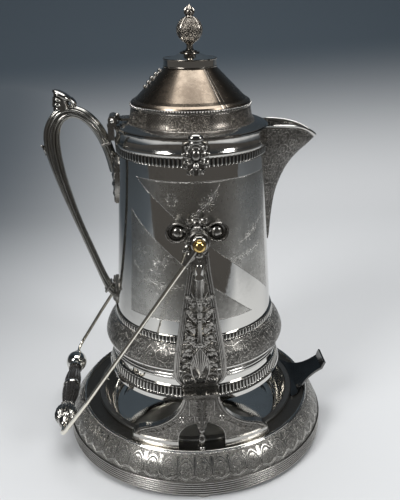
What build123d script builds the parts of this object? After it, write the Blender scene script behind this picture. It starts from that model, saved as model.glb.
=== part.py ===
"""Tilting ice-water pitcher on its footed stand, with a carrying bail.

Row frame, in millimetres: origin on the floor under the middle of the base, +Z up,
+X towards the spout, -Y the front upright.  Every piece is its own solid and file.
"""
import os
from math import hypot

from build123d import *

os.makedirs("parts", exist_ok=True)

# ---------------------------------------------------------------- driving dimensions
# base
FOOT_H = 4.0            # pad feet under the base
FOOT_R = 9.0
BASE_R = 152.5          # outside of the reeded edge
EDGE_TOP = 20.7         # top of the reeded edge
REEDS = 6
CREST_R = 133.6         # inner crest of the cove border
CREST_Z = 45.6
WELL_Z = 43.6           # flat channel that carries the brackets
WELL_IN_R = 112.0
DISH_RING_R = 117.4
DISH_RING_H = 4.8
DISH_FLOOR_Z = 20.0
SHEET = 1.6

# brackets and uprights (front is -Y, the back pair is the mirror image)
BRACKET_R_OUT = 129.0
BRACKET_R_IN = 122.0
STRAP_T = 1.4
NECK_Z = 112.0          # ledge on which an upright stands
UP_IN = 106.0           # inner face of an upright, distance from the axis
UP_OUT = 114.0
PIVOT_Z = 273.0         # common axis of tilt and bail
STUD_R = 4.0
RUN_FIT = 0.06          # radial running clearance on studs
EYE_R = 11.0

# pitcher
BOT_Z = 83.0
EDGE_R = 100.7
RIM_Z = 365.0
RIM_R = 81.0
MOUTH_R = 71.5
WALL = 1.5
BAND_LOW_Z = 151.0
WALL_LOW_Z = 158.0
WALL_TOP_Z = 338.0
BULGE_R = 102.9

# lid
LID_GAP = 0.3
HINGE_X = -82.0
HINGE_Z = 372.0
KNUCKLE_R = 4.4
PIN_R = 1.5
PIN_FIT = 0.05
CAP_R = 27.5
CAP_Z = 423.5
BALL_R = 13.3
TOP_Z = 483.3
BALL_Z = TOP_Z - 23.9     # middle of the finial ball

# bail and grip
GRIP_X = -151.0
GRIP_Z = 47.0
GRIP_FIT = 0.08
ROD_R = 2.1
EYE_IN = 114.6          # bail eye, inner and outer faces
EYE_OUT = 120.6

BAIL_LEN = hypot(GRIP_X, PIVOT_Z - GRIP_Z)
BAIL_DX = GRIP_X / BAIL_LEN
BAIL_DZ = (GRIP_Z - PIVOT_Z) / BAIL_LEN

# outside of the plain wall, bottom to top (radius, height)
WALL_PTS = [(88.4, 158.0), (85.6, 200.0), (82.2, 255.0), (79.9, 305.0), (79.2, 338.0)]


def inset(points, by):
    """The same profile, moved towards the axis."""
    return [(r - by, z) for r, z in points]


# ================================================================ stand: base
with BuildPart() as base_pan:
    with BuildSketch(Plane.XZ):
        with BuildLine():
            Line((147.6, EDGE_TOP), (150.6, EDGE_TOP))
            Spline((150.6, EDGE_TOP), (148.6, 27.5), (143.0, 36.6), (CREST_R + 1.6, CREST_Z))
            ThreePointArc((CREST_R + 1.6, CREST_Z), (CREST_R, CREST_Z + 1.5), (CREST_R - 1.6, CREST_Z))
            Line((CREST_R - 1.6, CREST_Z), (131.2, WELL_Z))
            Line((131.2, WELL_Z), (WELL_IN_R, WELL_Z))
            Line((WELL_IN_R, WELL_Z), (WELL_IN_R, WELL_Z - SHEET))
            Line((WELL_IN_R, WELL_Z - SHEET), (132.0, WELL_Z - SHEET))
            Line((132.0, WELL_Z - SHEET), (133.0, 43.2))
            Spline((133.0, 43.2), (141.3, 35.4), (146.2, 26.8), (147.6, EDGE_TOP))
        make_face()
    revolve(axis=Axis.Z)
base_pan.part.label = "base_pan"
export_step(base_pan.part, "parts/base_pan.step")

REED_PITCH = (EDGE_TOP - FOOT_H) / REEDS
with BuildPart() as reeded_edge:
    with BuildSketch(Plane.XZ):
        with Locations(((145.0 + BASE_R - 1.6) / 2, (FOOT_H + EDGE_TOP) / 2)):
            Rectangle(BASE_R - 1.6 - 145.0, EDGE_TOP - FOOT_H)
        with Locations([(BASE_R - 1.7, FOOT_H + REED_PITCH * (i + 0.5)) for i in range(REEDS)]):
            Circle(1.32)
    revolve(axis=Axis.Z)
reeded_edge.part.label = "reeded_edge"
export_step(reeded_edge.part, "parts/reeded_edge.step")

with BuildPart() as drip_dish:
    with BuildSketch(Plane.XZ):
        with BuildLine():
            Line((0, DISH_FLOOR_Z), (92.0, DISH_FLOOR_Z))
            Spline((92.0, DISH_FLOOR_Z), (99.5, 23.5), (104.5, 31.0), (109.4, 46.6))
            Line((109.4, 46.6), (110.6, WELL_Z + DISH_RING_H))
            Line((110.6, WELL_Z + DISH_RING_H), (DISH_RING_R - 1.2, WELL_Z + DISH_RING_H))
            Line((DISH_RING_R - 1.2, WELL_Z + DISH_RING_H), (DISH_RING_R, WELL_Z + DISH_RING_H - 1.2))
            Line((DISH_RING_R, WELL_Z + DISH_RING_H - 1.2), (DISH_RING_R, WELL_Z))
            Line((DISH_RING_R, WELL_Z), (110.9, WELL_Z))
            Spline((110.9, WELL_Z), (106.0, 30.0), (100.8, 22.2), (92.4, DISH_FLOOR_Z - SHEET))
            Line((92.4, DISH_FLOOR_Z - SHEET), (0, DISH_FLOOR_Z - SHEET))
            Line((0, DISH_FLOOR_Z - SHEET), (0, DISH_FLOOR_Z))
        make_face()
    revolve(axis=Axis.Z)
drip_dish.part.label = "drip_dish"
export_step(drip_dish.part, "parts/drip_dish.step")

FOOT_AT = {"foot_front": (0, -142.5), "foot_back": (0, 142.5),
           "foot_spout": (142.5, 0), "foot_handle": (-142.5, 0)}
for foot_name, foot_xy in FOOT_AT.items():
    with BuildPart() as foot:
        with BuildSketch(Plane.XY):
            with Locations(foot_xy):
                Circle(FOOT_R)
        extrude(amount=FOOT_H)
        chamfer(foot.edges().group_by(Axis.Z)[0], 1.2)
    foot.part.label = foot_name
    export_step(foot.part, "parts/" + foot_name + ".step")

# ================================================================ stand: brackets, uprights, pivots
# half outline of a bracket seen from the front, from the neck down to the foot's outer end
SPANDREL = [(18.2, 105.0), (23.4, 93.0), (33.0, 82.0), (45.8, 72.6), (58.6, 67.4)]
STEP_1 = 6.0            # lower plinth step
STEP_2 = 11.0           # upper plinth step
POST_TOP = 71.0
ARCH_X = 25.0
# half outline of an upright, from its base to below the eye
HARP = [(13.5, NECK_Z), (21.5, 116.5), (26.4, 125.5), (27.4, 137.5), (25.6, 152.0),
        (20.8, 181.0), (16.0, 211.0), (12.3, 232.0), (10.2, 248.0), (9.6, 264.0)]
WINDOW = [(21.4, 137.5), (20.2, 152.0), (15.8, 181.0), (11.2, 211.0), (7.7, 230.0)]

for side, s in (("front", 1), ("back", -1)):
    face = Plane.XZ if s > 0 else Plane(origin=(0, 0, 0), x_dir=(-1, 0, 0), z_dir=(0, 1, 0))

    with BuildPart() as bracket:
        with BuildSketch(face.offset(90.0)):
            with BuildLine():
                Line((0, NECK_Z), (18.4, NECK_Z))
                Line((18.4, NECK_Z), SPANDREL[0])
                Spline(*SPANDREL)
                Line(SPANDREL[-1], (66.0, 63.0))
                Line((66.0, 63.0), (70.5, 57.0))
                Line((70.5, 57.0), (70.5, WELL_Z + STEP_2))
                Line((70.5, WELL_Z + STEP_2), (72.5, WELL_Z + STEP_2))
                Line((72.5, WELL_Z + STEP_2), (72.5, WELL_Z + STEP_1))
                Line((72.5, WELL_Z + STEP_1), (74.5, WELL_Z + STEP_1))
                Line((74.5, WELL_Z + STEP_1), (74.5, WELL_Z))
                Line((74.5, WELL_Z), (ARCH_X, WELL_Z))
                Line((ARCH_X, WELL_Z), (ARCH_X, 64.0))
                ThreePointArc((ARCH_X, 64.0), (17.5, 74.3), (5.2, 78.5))
                Line((5.2, 78.5), (4.4, POST_TOP))
                Line((4.4, POST_TOP), (0, POST_TOP))
                Line((0, POST_TOP), (0, NECK_Z))
            make_face()
            mirror(about=Plane.YZ)
        extrude(amount=50.0)
        with BuildSketch(Plane.XZ):
            with BuildLine():
                Polyline((BRACKET_R_IN, WELL_Z), (BRACKET_R_OUT + 2.0, WELL_Z),
                         (BRACKET_R_OUT + 2.0, WELL_Z + STEP_1), (BRACKET_R_OUT + 1.0, WELL_Z + STEP_1),
                         (BRACKET_R_OUT + 1.0, WELL_Z + STEP_2), (BRACKET_R_OUT, WELL_Z + STEP_2),
                         (BRACKET_R_OUT, NECK_Z), (BRACKET_R_IN, NECK_Z), close=True)
            make_face()
        revolve(axis=Axis.Z, mode=Mode.INTERSECT)
        # ledge that carries the upright
        with BuildSketch(face.offset(UP_IN)):
            with Locations((0, NECK_Z - 2.0)):
                Rectangle(37.0, 4.0)
        extrude(amount=BRACKET_R_OUT - 1.0 - UP_IN)
    bracket.part.label = "bracket_" + side
    export_step(bracket.part, "parts/bracket_" + side + ".step")

    with BuildPart() as strap:
        with BuildSketch(face.offset(100.0)):
            with BuildLine():
                Polyline((-13.6, NECK_Z - 4.4), (13.6, NECK_Z - 4.4), (13.6, 88.0), (8.6, 88.0), (7.6, 81.0),
                         (0, 72.2), (-7.6, 81.0), (-8.6, 88.0), (-13.6, 88.0), close=True)
            make_face()
        extrude(amount=40.0)
        with BuildSketch(Plane.XZ):
            with Locations((BRACKET_R_OUT + STRAP_T / 2, 90.0)):
                Rectangle(STRAP_T, 60.0)
        revolve(axis=Axis.Z, mode=Mode.INTERSECT)
    strap.part.label = "strap_" + side
    export_step(strap.part, "parts/strap_" + side + ".step")

    with BuildPart() as post:
        with BuildSketch(Plane.XZ):
            with BuildLine():
                Line((0, WELL_Z), (4.6, WELL_Z))
                Line((4.6, WELL_Z), (4.6, WELL_Z + 1.6))
                Spline((4.6, WELL_Z + 1.6), (2.4, 48.0), (4.2, 52.5), (4.6, 56.0), (2.6, 62.5), (3.6, 66.5),
                       (2.8, 70.0))
                Line((2.8, 70.0), (3.4, POST_TOP))
                Line((3.4, POST_TOP), (0, POST_TOP))
                Line((0, POST_TOP), (0, WELL_Z))
            make_face()
        revolve(axis=Axis.Z)
    post_part = Pos(0, -s * 125.4, 0) * post.part
    post_part.label = "post_" + side
    export_step(post_part, "parts/post_" + side + ".step")

    with BuildPart() as upright:
        # web between the frame and the middle stem
        with BuildSketch(face.offset(UP_IN + 1.5)):
            with BuildLine():
                Line((0, NECK_Z), HARP[0])
                Spline(*HARP)
                Line(HARP[-1], (0, 264.0))
                Line((0, 264.0), (0, NECK_Z))
            make_face()
            mirror(about=Plane.YZ)
            with BuildLine():
                Polyline((21.4, 130.0), (21.4, 137.5), *WINDOW[1:], (5.4, 234.0), (5.4, 160.0),
                         (11.6, 146.0), (13.0, 130.5), close=True)
            make_face(mode=Mode.SUBTRACT)
            with BuildLine():
                Polyline((-21.4, 130.0), (-21.4, 137.5), *[(-x, z) for x, z in WINDOW[1:]], (-5.4, 234.0),
                         (-5.4, 160.0), (-11.6, 146.0), (-13.0, 130.5), close=True)
            make_face(mode=Mode.SUBTRACT)
        extrude(amount=5.0)
        # heavier frame round the outside
        with BuildSketch(face.offset(UP_IN)):
            with BuildLine():
                Line((0, NECK_Z), HARP[0])
                Spline(*HARP)
                Line(HARP[-1], (0, 264.0))
                Line((0, 264.0), (0, NECK_Z))
            make_face()
            mirror(about=Plane.YZ)
            with BuildLine():
                Polyline((0, NECK_Z + 6.0), (14.0, NECK_Z + 6.0), (18.5, 119.5), (21.2, 126.5), (21.9, 137.5),
                         *WINDOW[1:], (4.6, 246.0), (0, 248.0), close=True)
            make_face(mode=Mode.SUBTRACT)
            with BuildLine():
                Polyline((0, NECK_Z + 6.0), (-14.0, NECK_Z + 6.0), (-18.5, 119.5), (-21.2, 126.5),
                         (-21.9, 137.5), *[(-x, z) for x, z in WINDOW[1:]], (-4.6, 246.0), (0, 248.0),
                         close=True)
            make_face(mode=Mode.SUBTRACT)
        extrude(amount=UP_OUT - UP_IN)
        # rosettes beside the palmette
        with BuildSketch(face.offset(UP_IN + 1.5)):
            with Locations((-12.4, 121.6), (12.4, 121.6)):
                Circle(7.6)
        extrude(amount=UP_OUT - UP_IN - 2.4)
        # round stem with its bright cap
        with Locations((0, -s * (UP_IN + 3.6), 158.0)):
            Cylinder(4.6, 86.0, align=(Align.CENTER, Align.CENTER, Align.MIN))
        # eye that holds the stud
        with BuildSketch(face.offset(UP_IN)):
            with Locations((0, PIVOT_Z)):
                Circle(EYE_R)
        extrude(amount=UP_OUT - UP_IN)
        with BuildSketch(face.offset(UP_IN - 1.0)):
            with Locations((0, PIVOT_Z)):
                Circle(STUD_R)
        extrude(amount=UP_OUT - UP_IN + 2.0, mode=Mode.SUBTRACT)
    upright.part.label = "upright_" + side
    export_step(upright.part, "parts/upright_" + side + ".step")

    with BuildPart() as stud:
        with BuildSketch(face.offset(92.8)):
            with Locations((0, PIVOT_Z)):
                Circle(STUD_R)
        extrude(amount=125.0 - 92.8)
    stud.part.label = "pivot_stud_" + side
    export_step(stud.part, "parts/pivot_stud_" + side + ".step")

    with BuildPart() as knob:
        with BuildSketch(face.offset(EYE_OUT + 0.4)):
            with Locations((0, PIVOT_Z)):
                Circle(6.4)
        extrude(amount=2.0)
        with BuildSketch(face.offset(EYE_OUT + 2.4)):
            with Locations((0, PIVOT_Z)):
                Circle(5.6)
        extrude(amount=4.6)
        fillet(knob.edges().filter_by(GeomType.CIRCLE).sort_by(Axis.Y)[0 if s > 0 else -1], 3.6)
        with BuildSketch(face.offset(EYE_OUT)):
            with Locations((0, PIVOT_Z)):
                Circle(STUD_R)
        extrude(amount=125.0 - EYE_OUT, mode=Mode.SUBTRACT)
    knob.part.label = "pivot_knob_" + side
    export_step(knob.part, "parts/pivot_knob_" + side + ".step")

# flared rest that rises from the well on the spout side
REST_T = 2.4
with BuildPart() as cup_rest:
    with BuildSketch(Plane.XZ.offset(-45.0)):
        with BuildLine():
            Polyline((112.0, WELL_Z), (122.0, WELL_Z), (154.4, 65.0), (158.0, 74.0), (155.8, 74.8),
                     (152.8, 67.0), (121.2, WELL_Z + REST_T), (112.0, WELL_Z + REST_T), close=True)
        make_face()
    extrude(amount=90.0)
    with BuildSketch(Plane.XY.offset(WELL_Z - 1.0)):
        with BuildLine():
            Spline((110.0, -42.0), (121.0, -34.5), (133.0, -20.0), (143.0, -15.5), (160.0, -17.0))
            Line((160.0, -17.0), (160.0, 17.0))
            Spline((160.0, 17.0), (143.0, 15.5), (133.0, 20.0), (121.0, 34.5), (110.0, 42.0))
            Line((110.0, 42.0), (110.0, -42.0))
        make_face()
    extrude(amount=40.0, mode=Mode.INTERSECT)
    with BuildSketch(Plane.XY.offset(WELL_Z - 2.0)):
        Circle(DISH_RING_R)
    extrude(amount=10.0, mode=Mode.SUBTRACT)
cup_rest.part.label = "cup_rest"
export_step(cup_rest.part, "parts/cup_rest.step")

# ================================================================ pitcher: body
with BuildPart() as foot_ring:
    with BuildSketch(Plane.XZ):
        with BuildLine():
            Polyline((91.5, BOT_Z), (EDGE_R - 0.8, BOT_Z), (EDGE_R, BOT_Z + 0.8), (EDGE_R, 88.6),
                     (99.8, 90.3), (91.5, 90.3), close=True)
        make_face()
    revolve(axis=Axis.Z)
foot_ring.part.label = "foot_ring"
export_step(foot_ring.part, "parts/foot_ring.step")

with BuildPart() as bottom_plate:
    with Locations((0, 0, BOT_Z + 2.0)):
        Cylinder(91.5, 2.0, align=(Align.CENTER, Align.CENTER, Align.MIN))
bottom_plate.part.label = "bottom_plate"
export_step(bottom_plate.part, "parts/bottom_plate.step")

with BuildPart() as foot_band:
    with BuildSketch(Plane.XZ):
        with BuildLine():
            Polyline((93.0, 90.3), (99.2, 90.3), (96.8, 101.0), (93.0, 101.0), close=True)
        make_face()
    revolve(axis=Axis.Z)
foot_band.part.label = "foot_band"
export_step(foot_band.part, "parts/foot_band.step")

with BuildPart() as waist_moulding:
    with BuildSketch(Plane.XZ):
        with BuildLine():
            Polyline((93.0, 101.0), (95.6, 101.0), (95.6, 109.6))
            ThreePointArc((95.6, 109.6), (97.6, 111.6), (95.9, 113.4))
            ThreePointArc((95.9, 113.4), (97.7, 115.3), (96.2, 117.0))
            Polyline((96.2, 117.0), (98.2, 119.0), (101.0, 123.0), (93.0, 123.0), (93.0, 101.0))
        make_face()
    revolve(axis=Axis.Z)
waist_moulding.part.label = "waist_moulding"
export_step(waist_moulding.part, "parts/waist_moulding.step")

with BuildPart() as bulge_band:
    with BuildSketch(Plane.XZ):
        with BuildLine():
            Polyline((93.0, 123.0), (101.6, 123.0), (101.6, 124.4))
            Spline((101.6, 124.4), (BULGE_R, 128.0), (101.2, 135.6), (96.8, 143.4), (92.2, 148.6),
                   (91.0, BAND_LOW_Z))
            Polyline((91.0, BAND_LOW_Z), (88.4, BAND_LOW_Z), (93.0, 123.0))
        make_face()
    revolve(axis=Axis.Z)
bulge_band.part.label = "bulge_band"
export_step(bulge_band.part, "parts/bulge_band.step")

with BuildPart() as lower_band:
    with BuildSketch(Plane.XZ):
        with BuildLine():
            Polyline((88.4, BAND_LOW_Z), (90.6, BAND_LOW_Z), (89.9, WALL_LOW_Z),
                     (88.4, WALL_LOW_Z), close=True)
        make_face()
    revolve(axis=Axis.Z)
lower_band.part.label = "lower_band"
export_step(lower_band.part, "parts/lower_band.step")

WINDOW_Z = 300.0        # sill of the pouring window behind the spout
WINDOW_W = 30.0
with BuildPart() as body_shell:
    with BuildSketch(Plane.XZ):
        with BuildLine():
            Polyline((93.0 - WALL, 90.3), (93.0, 90.3), (93.0, 123.0), (88.4, BAND_LOW_Z), WALL_PTS[0])
            Spline(*WALL_PTS)
            Polyline(WALL_PTS[-1], (78.4, WALL_TOP_Z), (78.4, 347.5), (76.9, 347.5), (76.9, WALL_TOP_Z))
            Spline((76.9, WALL_TOP_Z), (77.9, 305.0), (80.2, 255.0), (83.6, 200.0), (86.2, WALL_LOW_Z))
            Polyline((86.2, WALL_LOW_Z), (86.6, BAND_LOW_Z), (93.0 - WALL, 123.0), (93.0 - WALL, 90.3))
        make_face()
    revolve(axis=Axis.Z)
    with Locations((80.0, 0, (WINDOW_Z + 348.0) / 2)):
        Box(20.0, WINDOW_W, 348.0 - WINDOW_Z, mode=Mode.SUBTRACT)
body_shell.part.label = "body_shell"
export_step(body_shell.part, "parts/body_shell.step")

with BuildPart() as upper_band:
    with BuildSketch(Plane.XZ):
        with BuildLine():
            Polyline((78.4, WALL_TOP_Z), (80.2, WALL_TOP_Z), (80.6, 347.5), (78.4, 347.5), close=True)
        make_face()
    revolve(axis=Axis.Z)
    with Locations((80.0, 0, 343.0)):
        Box(20.0, WINDOW_W, 20.0, mode=Mode.SUBTRACT)
upper_band.part.label = "upper_band"
export_step(upper_band.part, "parts/upper_band.step")

with BuildPart() as rim_collar:
    with BuildSketch(Plane.XZ):
        with BuildLine():
            Polyline((76.9, 347.5), (80.8, 347.5))
            ThreePointArc((80.8, 347.5), (81.4, 350.0), (80.4, 352.4))
            ThreePointArc((80.4, 352.4), (79.4, 357.0), (80.4, 362.6))
            Polyline((80.4, 362.6), (RIM_R, 363.4), (RIM_R, RIM_Z), (MOUTH_R, RIM_Z), (MOUTH_R, 362.4),
                     (78.0, 362.4), (78.0, 352.0), (76.9, 350.5), (76.9, 347.5))
        make_face()
    revolve(axis=Axis.Z)
rim_collar.part.label = "rim_collar"
export_step(rim_collar.part, "parts/rim_collar.step")

with BuildPart() as liner:
    with BuildSketch(Plane.XZ):
        with BuildLine():
            Polyline((0, 98.0), (74.0, 98.0))
            Spline((74.0, 98.0), (80.4, 102.6), (81.6, 116.0), (79.4, 180.0), (75.4, 260.0), (73.0, 330.0),
                   (72.9, 362.4))
            Polyline((72.9, 362.4), (MOUTH_R, 362.4))
            Spline((MOUTH_R, 362.4), (MOUTH_R + 0.1, 330.0), (73.9, 260.0), (77.9, 180.0), (80.0, 116.0),
                   (79.0, 103.8), (73.6, 99.6))
            Polyline((73.6, 99.6), (0, 99.6), (0, 98.0))
        make_face()
    revolve(axis=Axis.Z)
    with Locations((74.0, 0, (WINDOW_Z + 8.0 + 345.0) / 2)):
        Box(20.0, WINDOW_W - 4.0, 345.0 - WINDOW_Z - 8.0, mode=Mode.SUBTRACT)
liner.part.label = "liner"
export_step(liner.part, "parts/liner.step")

# solid envelope of the finished body, used only to fit castings to its curve
with BuildPart() as envelope:
    with BuildSketch(Plane.XZ):
        with BuildLine():
            Polyline((0, 123.0), (101.6, 123.0), (101.6, 124.4))
            Spline((101.6, 124.4), (BULGE_R, 128.0), (101.2, 135.6), (96.8, 143.4), (92.2, 148.6),
                   (91.0, BAND_LOW_Z))
            Polyline((91.0, BAND_LOW_Z), (90.6, BAND_LOW_Z), (89.9, WALL_LOW_Z), WALL_PTS[0])
            Spline(*WALL_PTS)
            Polyline(WALL_PTS[-1], (80.2, WALL_TOP_Z), (80.6, 347.5), (81.5, 347.5), (81.5, 352.4),
                     (81.1, 354.0), (81.1, RIM_Z + 0.1), (0, RIM_Z + 0.1), (0, 123.0))
        make_face()
    revolve(axis=Axis.Z)

# ---------------------------------------------------------------- spout
# height, half width at the wall, reach of the nose
SPOUT = [(232.0, 3.0, 85.4), (244.0, 5.6, 86.8), (260.0, 8.2, 88.0), (275.0, 10.4, 89.6), (290.0, 13.0, 92.4),
         (305.0, 16.2, 97.6), (322.0, 20.0, 107.0), (335.0, 23.0, 119.0), (349.0, 24.6, 133.4),
         (368.0, 26.0, 151.0)]
SPOUT_T = 2.0
with BuildPart() as spout:
    for z, w, reach in SPOUT:
        with BuildSketch(Plane.XY.offset(z)):
            with BuildLine():
                Spline((68.0, -w), (76.0, -w), (76.0 + (reach - 76.0) * 0.62, -w * 0.55), (reach, 0),
                       (76.0 + (reach - 76.0) * 0.62, w * 0.55), (76.0, w), (68.0, w))
                Line((68.0, w), (68.0, -w))
            make_face()
    loft()
    for z, w, reach in SPOUT[3:]:
        with BuildSketch(Plane.XY.offset(z)):
            with BuildLine():
                wi = w - SPOUT_T
                ri = reach - SPOUT_T - 0.6
                Spline((66.0, -wi), (76.0, -wi), (76.0 + (ri - 76.0) * 0.62, -wi * 0.55), (ri, 0),
                       (76.0 + (ri - 76.0) * 0.62, wi * 0.55), (76.0, wi), (66.0, wi))
                Line((66.0, wi), (66.0, -wi))
            make_face()
    loft(mode=Mode.SUBTRACT)
    with BuildSketch(Plane.XZ.offset(-60.0)):
        with BuildLine():
            Line((60.0, RIM_Z - 0.4), (86.0, RIM_Z - 0.4))
            Spline((86.0, RIM_Z - 0.4), (108.0, 363.0), (122.0, 358.6), (134.0, 349.4), (160.0, 320.0))
            Polyline((160.0, 320.0), (160.0, 390.0), (60.0, 390.0), (60.0, RIM_Z - 0.4))
        make_face()
    extrude(amount=120.0, mode=Mode.SUBTRACT)
    add(envelope.part, mode=Mode.SUBTRACT)
spout_solid = spout.part.solids().sort_by(SortBy.VOLUME)[-1]
spout_solid.label = "spout"
export_step(spout_solid, "parts/spout.step")

# ---------------------------------------------------------------- handle
HANDLE_W = 13.0
HANDLE_IN = [(-90.0, 178.0), (-94.2, 183.6), (-99.4, 193.2), (-111.2, 227.0), (-121.8, 257.2),
             (-130.8, 289.8), (-137.0, 318.5), (-139.4, 337.0), (-139.6, 353.5), (-136.6, 366.0),
             (-130.0, 373.6), (-120.6, 375.6), (-109.6, 369.6), (-100.2, 358.4), (-93.4, 345.0),
             (-88.4, 330.0), (-84.8, 314.0)]
HANDLE_OUT = [(-80.0, 328.0), (-86.0, 346.0), (-95.0, 364.4), (-105.0, 377.6), (-117.6, 386.0),
              (-131.0, 386.6), (-141.2, 381.0), (-148.4, 372.6), (-152.8, 362.0), (-154.2, 349.0),
              (-152.2, 333.0), (-147.8, 316.5), (-141.0, 293.8), (-133.0, 270.4), (-124.8, 247.2),
              (-114.8, 217.8), (-105.4, 190.6), (-99.6, 175.0), (-90.0, 164.0)]
with BuildPart() as handle:
    with BuildSketch(Plane.XZ.offset(-HANDLE_W / 2)):
        with BuildLine():
            Spline(*HANDLE_IN)
            Polyline(HANDLE_IN[-1], (-78.0, 314.0), (-78.0, 328.0), HANDLE_OUT[0])
            Spline(*HANDLE_OUT)
            Polyline(HANDLE_OUT[-1], (-78.0, 164.0), (-78.0, 178.0), HANDLE_IN[0])
        make_face()
    extrude(amount=HANDLE_W)
    fillet(handle.edges().filter_by(GeomType.BSPLINE), 2.2)
    add(envelope.part, mode=Mode.SUBTRACT)
handle.part.label = "handle"
export_step(handle.part, "parts/handle.step")

with BuildPart() as thumb_piece:
    with BuildSketch(Plane.XZ.offset(-9.0)):
        with BuildLine():
            Spline((-140.6, 379.0), (-143.4, 388.0), (-140.6, 396.6), (-134.6, 402.6), (-128.2, 401.2),
                   (-121.6, 395.0), (-118.6, 387.0))
            Polyline((-118.6, 387.0), (-118.6, 383.6), (-134.0, 383.6), (-140.6, 379.0))
        make_face()
    extrude(amount=18.0)
    add(handle.part, mode=Mode.SUBTRACT)
thumb_solid = thumb_piece.part.solids().sort_by(SortBy.VOLUME)[-1]
thumb_solid.label = "thumb_piece"
export_step(thumb_solid, "parts/thumb_piece.step")

with BuildPart() as upper_leaf:
    with BuildSketch(Plane.YZ.offset(-89.0)):
        with BuildLine():
            Spline((0, 279.0), (7.5, 292.0), (10.5, 310.0), (9.0, 326.0), (0, 336.0))
            Spline((0, 336.0), (-9.0, 326.0), (-10.5, 310.0), (-7.5, 292.0), (0, 279.0))
        make_face()
    extrude(amount=14.0)
    with BuildSketch(Plane.XZ):
        with BuildLine():
            Polyline((0, 270.0), (84.0, 270.0), (83.2, 338.0), (0, 338.0), close=True)
        make_face()
    revolve(axis=Axis.Z, mode=Mode.INTERSECT)
    add(envelope.part, mode=Mode.SUBTRACT)
    add(handle.part, mode=Mode.SUBTRACT)
leaf_solid = upper_leaf.part.solids().sort_by(SortBy.VOLUME)[-1]
leaf_solid.label = "handle_leaf_upper"
export_step(leaf_solid, "parts/handle_leaf_upper.step")

with BuildPart() as lower_leaf:
    with BuildSketch(Plane.YZ.offset(-96.0)):
        with BuildLine():
            Spline((0, 159.0), (8.0, 162.0), (9.5, 170.0), (6.5, 182.0), (0, 194.0))
            Spline((0, 194.0), (-6.5, 182.0), (-9.5, 170.0), (-8.0, 162.0), (0, 159.0))
        make_face()
    extrude(amount=14.0)
    with BuildSketch(Plane.XZ):
        with BuildLine():
            Polyline((0, 150.0), (91.6, 150.0), (88.6, 200.0), (0, 200.0), close=True)
        make_face()
    revolve(axis=Axis.Z, mode=Mode.INTERSECT)
    add(envelope.part, mode=Mode.SUBTRACT)
    add(handle.part, mode=Mode.SUBTRACT)
low_solid = lower_leaf.part.solids().sort_by(SortBy.VOLUME)[-1]
low_solid.label = "handle_leaf_lower"
export_step(low_solid, "parts/handle_leaf_lower.step")

# ---------------------------------------------------------------- trunnions and rim ornaments
BOSS_X = 19.2
BOSS_R = 10.6
for side, s in (("front", 1), ("back", -1)):
    face = Plane.XZ if s > 0 else Plane(origin=(0, 0, 0), x_dir=(-1, 0, 0), z_dir=(0, 1, 0))

    with BuildPart() as trunnion:
        with BuildSketch(face.offset(70.0)):
            with Locations((-BOSS_X, PIVOT_Z + 2.0), (BOSS_X, PIVOT_Z + 2.0)):
                Circle(BOSS_R)
            with BuildLine():
                Polyline((-10.0, 266.0), (-13.0, 279.0), (-7.0, 281.0), (-4.2, 287.0), (0, 290.5),
                         (4.2, 287.0),
                         (7.0, 281.0), (13.0, 279.0), (10.0, 266.0), (0, 259.0), close=True)
            make_face()
        extrude(amount=17.5)
        with BuildSketch(face.offset(80.0)):
            with Locations((-BOSS_X, PIVOT_Z + 2.0), (BOSS_X, PIVOT_Z + 2.0)):
                Circle(BOSS_R)
                Circle(BOSS_R - 2.0, mode=Mode.SUBTRACT)
            with Locations((-BOSS_X, PIVOT_Z + 2.0), (BOSS_X, PIVOT_Z + 2.0)):
                Circle(5.6)
        extrude(amount=11.5)
        with BuildSketch(face.offset(80.0)):
            with Locations((0, PIVOT_Z)):
                Circle(8.2)
        extrude(amount=UP_IN - 1.0 - 80.0)
        with BuildSketch(face.offset(92.4)):
            with Locations((0, PIVOT_Z)):
                Circle(STUD_R + RUN_FIT)
        extrude(amount=20.0, mode=Mode.SUBTRACT)
        add(envelope.part, mode=Mode.SUBTRACT)
    trunnion.part.label = "trunnion_" + side
    export_step(trunnion.part, "parts/trunnion_" + side + ".step")

    with BuildPart() as ornament:
        with BuildSketch(face.offset(70.0)):
            with BuildLine():
                Spline((0, 329.5), (6.0, 336.0), (11.4, 340.0), (12.6, 348.0), (14.6, 359.6), (7.0, 363.6),
                       (0, 364.2), (-7.0, 363.6), (-14.6, 359.6), (-12.6, 348.0), (-11.4, 340.0),
                       (-6.0, 336.0), (0, 329.5))
            make_face()
        extrude(amount=16.4)
        add(envelope.part, mode=Mode.SUBTRACT)
    with BuildPart() as crown_ball:
        with BuildSketch(Plane.XZ):
            with BuildLine():
                Line((-8.0, 0), (8.0, 0))
                Spline((8.0, 0), (7.0, 2.3), (4.2, 4.0), (0, 4.7), (-4.2, 4.0), (-7.0, 2.3), (-8.0, 0))
            make_face()
        revolve(axis=Axis.X)
    orn = ornament.part + Pos(0, -s * 86.0, 368.0) * crown_ball.part
    orn.label = "rim_ornament_" + side
    export_step(orn, "parts/rim_ornament_" + side + ".step")

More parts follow.
